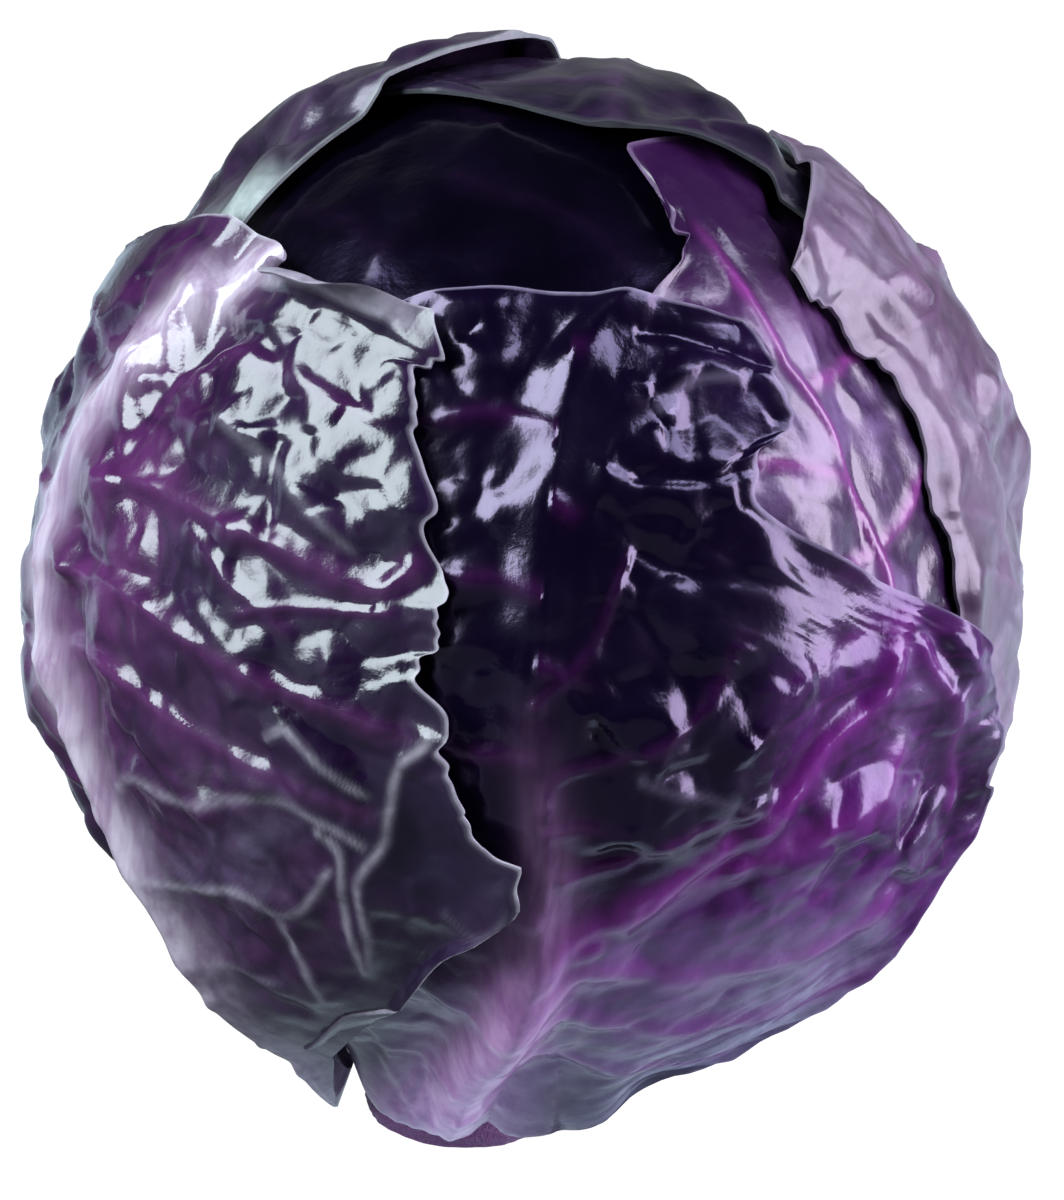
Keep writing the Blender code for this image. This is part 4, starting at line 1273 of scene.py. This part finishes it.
CABBAGE = LeafStack((
    LeafPiece(
        LeafPlan("leaf_inner_left", -35, 19, (160, 188, 168), (4, 4),
                 (-9, -38, -54, -58, -58, -56, -50, -42, -26), (0, 0, 0, 1, 2, 2, 2, 1, 0),
                 (9, 38, 54, 60, 62, 60, 55, 46, 30), 2.0, (0, 0.4, 0.4), 3, 0.5, 0.4),
        FINISHES["inner_left"], Slot.HEART, 120, 110,
        Crumple(13.0, 0.05, 0.5, 11), Crumple(27.0, 0.03, 0.3, 12), 0.6, chevron_height=0.35,
        rib_tones=(1.0, 0.6, 0.1, 0.0, 0.0)),
    LeafPiece(
        LeafPlan("leaf_inner_right", 55, 17, (150, 154, 148), (4, 4),
                 (-9, -36, -48, -50, -49, -46, -40, -31, -18), (0, 0, -1, -2, -4, -6, -9, -13, -15),
                 (9, 40, 54, 58, 58, 54, 46, 34, 14), 2.0, (0.8, 0.6, 0), 3, 0.8, 1.7),
        FINISHES["inner_right"], Slot.LILAC, 150, 150,
        Crumple(12.0, 0.07, 0.5, 21), Crumple(24.0, 0.05, 0.3, 22), 0.8,
        ridges=(
            Ridge(((95, -5), (103, -7), (110, -8), (118, -12), (129, -15), (135, -17), (152, -16)), 0.9, 1.1),
            Ridge(((110, -8), (107, -20), (109, -27), (112, -38)), 0.7, 1.0),
            Ridge(((129, -15), (132, -3), (136, 8)), 0.6, 0.9),
            Ridge(((110, -8), (117, 3), (122, 14)), 0.7, 1.0),
            Ridge(((118, -12), (122, -24), (127, -34)), 0.5, 0.9),
        ),
        drawn_from=-1.2, chevron_height=0.4, fine_crumple=Crumple(5.5, 0.05, 0.12, 23), tip_reach=0.07,
        # The tip is darker towards the crown: partly its own colour, partly painted shade.
        flush=(Patch(150, -10, 16, 20, 0.8),), deep_and_shade=(Patch(152, -12, 16, 20, 0.97),),
        rib_tones=(1.0, 0.6, 0.1, 0.0, 0.0)),
    LeafPiece(
        LeafPlan("leaf_back", 175, 12, (199, 199, 188), (4, 4),
                 (-11, -40, -55, -60, -61, -59, -55, -48, -37), (0, 0, 1, 2, 2, 1, 0, -2, -4),
                 (11, 40, 54, 58, 58, 55, 48, 36, 22), 5.0, (0.8, 0.9, 0.8), 4, 0.9, 2.9),
        FINISHES["outer"], Slot.PURPLE, 150, 120,
        Crumple(13.0, 0.09, 0.6, 31), Crumple(26.0, 0.06, 0.4, 32), rim_extra=(0.0, -0.2, 0.0)),
    LeafPiece(
        LeafPlan("leaf_right", 108, 12, (164, 158, 140), (6, 4),
                 (-11, -31, -36, -43, -46, -42, -38, -38, -36), (0, 1, 2, 3, 4, 5, 5, 4, 2),
                 (11, 42, 58, 62, 62, 58, 50, 40, 26), 5.0, (1.4, 0.4, 0.4), 5, 0.9, 4.2),
        FINISHES["right"], Slot.PURPLE, 150, 120,
        Crumple(12.0, 0.09, 0.6, 41), Crumple(26.0, 0.06, 0.4, 42), rim_extra=(-2.4, -0.3, 0.3),
        # Pale film towards the silhouette: painted sheen, with wax.
        bloom_and_sheen=(Patch(108, -22, 44, 13, 0.7),),
        rib_tones=(1.0, 0.6, 0.3, 0.2, 0.2)),
    LeafPiece(
        LeafPlan("leaf_front", -2, 12, (131, 136, 137), (4, 6),
                 (-11, -36, -50, -51, -49, -46, -41, -34, -22), (0, 2, 5, 8, 8, 5, 4, 3, 3),
                 (13, 34, 52, 61, 65, 66, 67, 66, 65, 63, 58, 28, 25, 26, 26, 24, 20),
                 9.5, (0, 0.8, 1.0), 6, 0.8, 5.3),
        FINISHES["front"], Slot.PURPLE, 210, 215,
        Crumple(10.5, 0.12, 0.6, 51), Crumple(22.0, 0.07, 0.5, 52),
        ridges=(
            Ridge(((56, 9), (64, 13), (68, 22), (75, 31), (86, 40), (94, 46), (103, 48), (112, 47)), 1.3, 2.3,
                  0.6, 0.7),
            Ridge(((60, 10), (66, 17), (69, 25), (72, 36), (78, 48), (88, 54)), 0.9, 2.6, 0.6, 0.6),
            Ridge(((46, 7), (58, 12), (55, 21), (52, 33), (51, 44), (54, 56)), 1.0, 2.6, 0.6, 0.7),
            Ridge(((38, 6), (50, 11), (45, 19), (40, 30), (37, 41), (40, 53)), 0.9, 2.4, 0.6, 0.6),
            Ridge(((26, 4), (40, 8), (36, 15), (30, 26), (27, 38)), 0.9, 2.2, 0.6, 0.6),
            Ridge(((71, 10), (75, 19), (79, 32)), 0.8, 1.2, 0.45, 0.25),
            Ridge(((79, 7), (83, 8), (86, 15), (93, 23), (104, 28)), 0.9, 1.1, 0.45, 0.1),
            Ridge(((90, 5), (93, 6), (99, 11), (110, 13)), 0.8, 1.0, 0.45, 0.08),
            Ridge(((84, 17), (83, 20), (82, 24), (80, 29), (77, 35)), 1.3, 1.4, 0.5, 0.25, True),
            Ridge(((113, 8), (108, 16), (108, 26), (107, 36)), -0.7, 1.5, 0.8, 0.0),
            Ridge(((132, 9), (133, 16), (133, 25)), -0.6, 1.0, 0.8, 0.0),
            Ridge(((116, 11), (118, 19), (121, 26)), -0.6, 1.1, 0.8, 0.0),
            Ridge(((124, 12), (128, 16), (130, 22)), 0.8, 1.2, 0.7, 0.3, True),
            Ridge(((21, 12), (24, 27), (30, 42), (40, 55)), 1.2, 1.5, 0.6, 0.4, True),
            Ridge(((31, 26), (34, 42), (43, 57)), 1.0, 1.3, 0.6, 0.3, True),
            Ridge(((106, 50), (95, 57), (80, 60), (66, 60)), 0.9, 1.3, 0.6, 0.5),
        ),
        drawn_from=0.05, rim_extra=(0.0, 0.8, 1.1),
        flush=(Patch(50, 34, 24, 38, 1.0), Patch(90, 50, 30, 18, 0.9)),
        # Pale film along the right margin and low down, and pale streaks at the foot: painted sheen over wax
        # and relief.
        bloom_and_sheen=(Patch(62, 60, 44, 13, 0.45), Patch(36, 36, 20, 34, 0.5)), streaks_and_sheen=(Patch(27, 46, 17, 28, 1.7),),
        plump=(Patch(96, -10, 60, 8, 1.7),),
        # Darker areas, partly the leaf's own colour and partly painted shade; the patch low on the left is a
        # painted shadow under the left leaf's margin beside the lobe.
        deep_and_shade=(Patch(104, 0, 44, 22, 0.95), Patch(82, 16, 18, 14, 0.9), Patch(52, -14, 20, 9, 0.9),
              Patch(112, 18, 16, 14, 0.8)),
        calm=(Patch(46, 34, 20, 24, 0.6),), chevron_tone=0.12, rib_fall=0.55,
        fine_crumple=Crumple(5.0, 0.07, 0.15, 53),
        lobes=((-4.0, 11.0, 9.5), (15.0, 11.0, 8.0)),
        rib_tones=(1.0, 1.0, 0.75, 0.25, 0.0, 0.0, 0.0), rib_widths=(11.0, 2.0)),
    LeafPiece(
        LeafPlan("leaf_back_left", -130, 12, (160, 172, 157), (4, 4),
                 (-11, -40, -56, -60, -60, -57, -50, -38, -22), (0, 0, -1, -2, -2, 0, 2, 3, 4),
                 (11, 40, 55, 60, 61, 60, 57, 53, 46), 5.0, (0.6, 1.0, 1.2), 5, 0.8, 0.9),
        FINISHES["back_left"], Slot.PURPLE, 150, 120,
        Crumple(12.0, 0.09, 0.6, 61), Crumple(26.0, 0.06, 0.4, 62), rim_extra=(0.2, -0.2, 0.4),
        # Pale teal film on the upper left: painted sheen along the silhouette.
        bloom_and_sheen=(Patch(150, 46, 34, 13, 1.1), Patch(108, 50, 30, 10, 0.8))),
    LeafPiece(
        LeafPlan("leaf_left", -68, 12, (126, 136, 143), (4, 12),
                 (-12, -38, -52, -60, -61, -58, -50, -36, -14), (-2, 9, 16, 15, 7, 0, 2, 9, 15),
                 (9, 58, 63, 61, 59, 57, 49, 42, 39), 6.0, (0.6, 2.2, 1.6), 7, 1.0, 2.2),
        FINISHES["left"], Slot.PURPLE, 210, 215,
        Crumple(10.0, 0.10, 0.5, 71, DOWN_RIGHT, 1.7),
        Crumple(19.0, 0.10, 0.6, 72, DOWN_RIGHT, 1.6),
        ridges=(
            Ridge(((114, 10), (119, 17), (123, 22), (126, 32), (128, 44)), 1.1, 1.9, 0.5, 0.3),
            Ridge(((104, 9), (105, 17), (106, 24), (106, 37), (107, 50), (116, 56)), 1.4, 2.2, 0.6, 0.5),
            Ridge(((117, 25), (116, 29), (115, 35), (113, 40), (110, 48)), 1.8, 1.4, 0.5, 0.25, True),
            Ridge(((104, 26), (101, 32), (98, 37), (95, 44)), 0.9, 1.5, 0.5, 0.25),
            Ridge(((92, 5), (93, 14), (93, 22), (89, 34), (86, 46), (81, 60)), 1.0, 1.7, 0.6, 0.5),
            Ridge(((83, 8), (84, 14), (80, 27), (74, 41), (65, 54)), 0.9, 1.6, 0.5, 0.5),
            Ridge(((68, 15), (70, 21), (69, 28), (70, 36), (69, 43), (64, 48), (60, 51)), 1.6, 1.4, 0.6, 0.45,
                  True),
            Ridge(((84, 61), (80, 59), (74, 57), (62, 53), (55, 49), (46, 45), (37, 41)), 1.5, 1.2, 0.8, 0.55,
                  True),
            Ridge(((65, 46), (59, 47), (47, 44), (38, 40)), 1.2, 1.1, 0.7, 0.6, True),
            Ridge(((58, 10), (57, 21), (56, 34), (52, 37), (55, 43), (58, 47)), 1.4, 1.2, 0.7, 0.6, True),
            Ridge(((52, 37), (42, 34), (35, 33)), 1.3, 1.1, 0.7, 0.6, True),
            Ridge(((79, 41), (81, 44), (75, 49), (69, 53)), 1.2, 1.1, 0.6, 0.5, True),
            Ridge(((45, 56), (39, 58), (43, 63)), 1.0, 1.0, 0.7, 0.1, True),
            Ridge(((46, 12), (45, 22), (41, 31)), 1.0, 1.1, 0.6, 0.3, True),
            Ridge(((119, 33), (112, 36), (106, 37)), -1.2, 1.8, 0.6, 0.0),
            Ridge(((95, 37), (101, 47), (104, 55)), 0.7, 0.9, 0.45, 0.4),
        ),
        drawn_from=-0.02, rim_extra=(0.3, 0.8, 1.0),
        flush=(Patch(95, 8, 42, 18, 0.8), Patch(62, 24, 28, 22, 0.45)),
        fine_crumple=Crumple(5.0, 0.08, 0.18, 73),
        corner=((0.0, 24, 9), (0.045, 33, 33), (0.07, 31, 41), (0.10, 37, 52), (0.13, 41, 64),
                (0.17, 50, 66.5), (0.21, 58, 64), (0.25, 66, 63.5)),
        # The dark patch near the torn corner is painted shade beside the long fold.
        bloom_and_sheen=(Patch(46, 28, 32, 40, 0.9),), deep_and_shade=(Patch(58, 58, 17, 6, 0.8),),
        tip_calm=1.5, chevron_tone=0.4, curl=Curl(0.935, 3.6, 0.0),
        rib_tones=(0.9, 0.8, 0.85, 0.95, 0.95), rib_widths=(8.0, 5.0)),
))


@dataclass(frozen=True)
class Window:
    """A soft rectangular light that faces the head.

    azimuth and elevation are where it stands in degrees, to the right of the camera and above the
    horizon, size is its width and height in metres, and radiance is how bright its face is.
    """

    name: str
    azimuth: float
    elevation: float
    size: tuple[float, float]
    radiance: float
    colour: Colour
    DISTANCE: ClassVar[float] = 0.95

    def add(self, centre: Vector) -> None:
        """Adds the light, at its distance from the head's centre."""
        turn, rise = math.radians(self.azimuth), math.radians(self.elevation)
        away = Vector((math.sin(turn) * math.cos(rise), -math.cos(turn) * math.cos(rise), math.sin(rise)))
        light = bpy.data.lights.new(self.name, "AREA")
        light.shape = "RECTANGLE"
        light.size, light.size_y = self.size
        light.energy = self.radiance * math.pi * self.size[0] * self.size[1]
        light.color = self.colour
        holder = show(self.name, light)
        holder.location = centre + away * self.DISTANCE
        holder.rotation_euler = away.to_track_quat("Z", "Y").to_euler()


class Studio:
    """Pale floor, three soft lights, a surround that glows behind the head, and the camera.

    Lengths are in metres and angles in degrees. PIXEL is the width of one pixel of the picture at the
    head's centre, which is at CENTRE_PIXEL.
    """

    CENTRE = Vector((0.0, 0.0, 0.0835))
    ELEVATION = 12.0
    ROLL = 8.0
    DISTANCE = 0.95
    PIXEL = 0.0001512
    CENTRE_PIXEL = (522.0, 598.0)
    PICTURE = (1064.0, 1200.0)
    SENSOR = 36.0
    WINDOWS = (
        Window("left_window", -60.5, 27.0, (0.56, 0.8), 13.0, (0.90, 0.98, 1.0)),
        Window("right_window", 82.0, 22.0, (0.6, 1.0), 9.5, (0.92, 0.84, 1.0)),
        Window("right_upper_window", 58.0, 54.0, (0.34, 0.34), 7.0, (0.80, 0.82, 1.0)),
    )
    SKY = (0.93, 0.97, 1.0)
    FLOOR_HALF = 9.0
    FLOOR_GLOW = (0.68, 0.86, 1.0)
    POOL = (0.06, -0.02, 0.0)

    def axes(self) -> tuple[Vector, Vector, Vector]:
        """The camera's right, up and back."""
        tilt, roll = math.radians(self.ELEVATION), math.radians(self.ROLL)
        back = Vector((0.0, -math.cos(tilt), math.sin(tilt)))
        level_up = Vector((0.0, math.sin(tilt), math.cos(tilt)))
        level_right = Vector((1.0, 0.0, 0.0))
        up = math.cos(roll) * level_up - math.sin(roll) * level_right
        right = math.cos(roll) * level_right + math.sin(roll) * level_up
        return right, up, back

    def add_camera(self) -> None:
        """Sets up the camera so that the head fills the picture as the real one does."""
        right, up, back = self.axes()
        across = (self.PICTURE[0] / 2 - self.CENTRE_PIXEL[0]) * self.PIXEL
        down = (self.PICTURE[1] / 2 - self.CENTRE_PIXEL[1]) * self.PIXEL
        eye = self.CENTRE + right * across - up * down + back * self.DISTANCE
        camera = bpy.data.cameras.new("camera")
        camera.sensor_width = self.SENSOR
        camera.lens = self.SENSOR * self.DISTANCE / (self.PICTURE[1] * self.PIXEL)
        camera.clip_end = 50.0
        holder = show("camera", camera)
        turn = Matrix((right, up, back)).transposed().to_4x4()
        holder.matrix_world = Matrix.Translation(eye) @ turn
        bpy.context.scene.camera = holder

    def add_surround(self) -> None:
        """A surround that glows low behind the head, is dark before it and white to the camera."""
        sketch = SkySketch("surround")
        split = sketch.node("ShaderNodeSeparateXYZ", sketch.where)
        fall = sketch.maths("ADD", sketch.maths("MULTIPLY", split.outputs["Z"], -0.75), split.outputs["Y"])
        glow = sketch.span(fall, 0.0, 0.7, 0.02, 0.22)
        seen = sketch.node("ShaderNodeLightPath").outputs["Is Camera Ray"]
        sketch.shade({"Strength": sketch.maths("MAXIMUM", seen, glow), "Color": self.SKY})
        bpy.context.scene.world = sketch.made

    def add_floor(self) -> None:
        """A wide pale floor, white to the camera, that shines into the head from behind and below."""
        sheet = bmesh.new()
        bmesh.ops.create_grid(sheet, x_segments=8, y_segments=8, size=self.FLOOR_HALF)
        mesh = bpy.data.meshes.new("floor")
        sheet.to_mesh(mesh)
        sheet.free()
        sketch = NodeSketch("floor_white")
        grey = sketch.blend(sketch.noise(3.0, 2.0), (0.07, 0.07, 0.075), (0.08, 0.08, 0.085))
        seen = sketch.node("ShaderNodeLightPath").outputs["Is Camera Ray"]
        split = sketch.node("ShaderNodeSeparateXYZ", sketch.where)
        behind = sketch.span(split.outputs["Y"], 0.02, 0.22, 0.0, 1.0)
        away = sketch.node("ShaderNodeVectorMath", sketch.where, self.POOL, operation="DISTANCE")
        pool = sketch.span(away.outputs["Value"], 0.06, 0.105, 0.75, 0.0)
        behind = sketch.maths("MAXIMUM", behind, pool)
        behind = sketch.maths("MULTIPLY", behind, sketch.maths("SUBTRACT", 1.0, seen))
        glow = sketch.blend(seen, self.FLOOR_GLOW, WHITE)
        sketch.shade({"Base Color": grey, "Roughness": 0.8, "Emission Color": glow,
                      "Emission Strength": sketch.maths("MAXIMUM", seen, behind)})
        mesh.materials.append(sketch.made)
        floor = show("floor", mesh)

    def build(self) -> None:
        """Sets up the whole studio."""
        self.add_camera()
        for window in self.WINDOWS:
            window.add(self.CENTRE)
        self.add_surround()
        self.add_floor()
        bpy.context.scene.view_settings.view_transform = "Standard"


def note_sizes() -> None:
    """Brings the scene's placements up to date."""
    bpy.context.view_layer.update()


def main() -> None:
    """Builds the stalk, the heart and the leaves from the inside out, and the studio round them."""
    logging.basicConfig(level=logging.INFO, format="%(name)s: %(message)s")
    Stalk().build()
    Heart().build()
    CABBAGE.build()
    Studio().build()
    note_sizes()


if __name__ == "__main__":
    main()
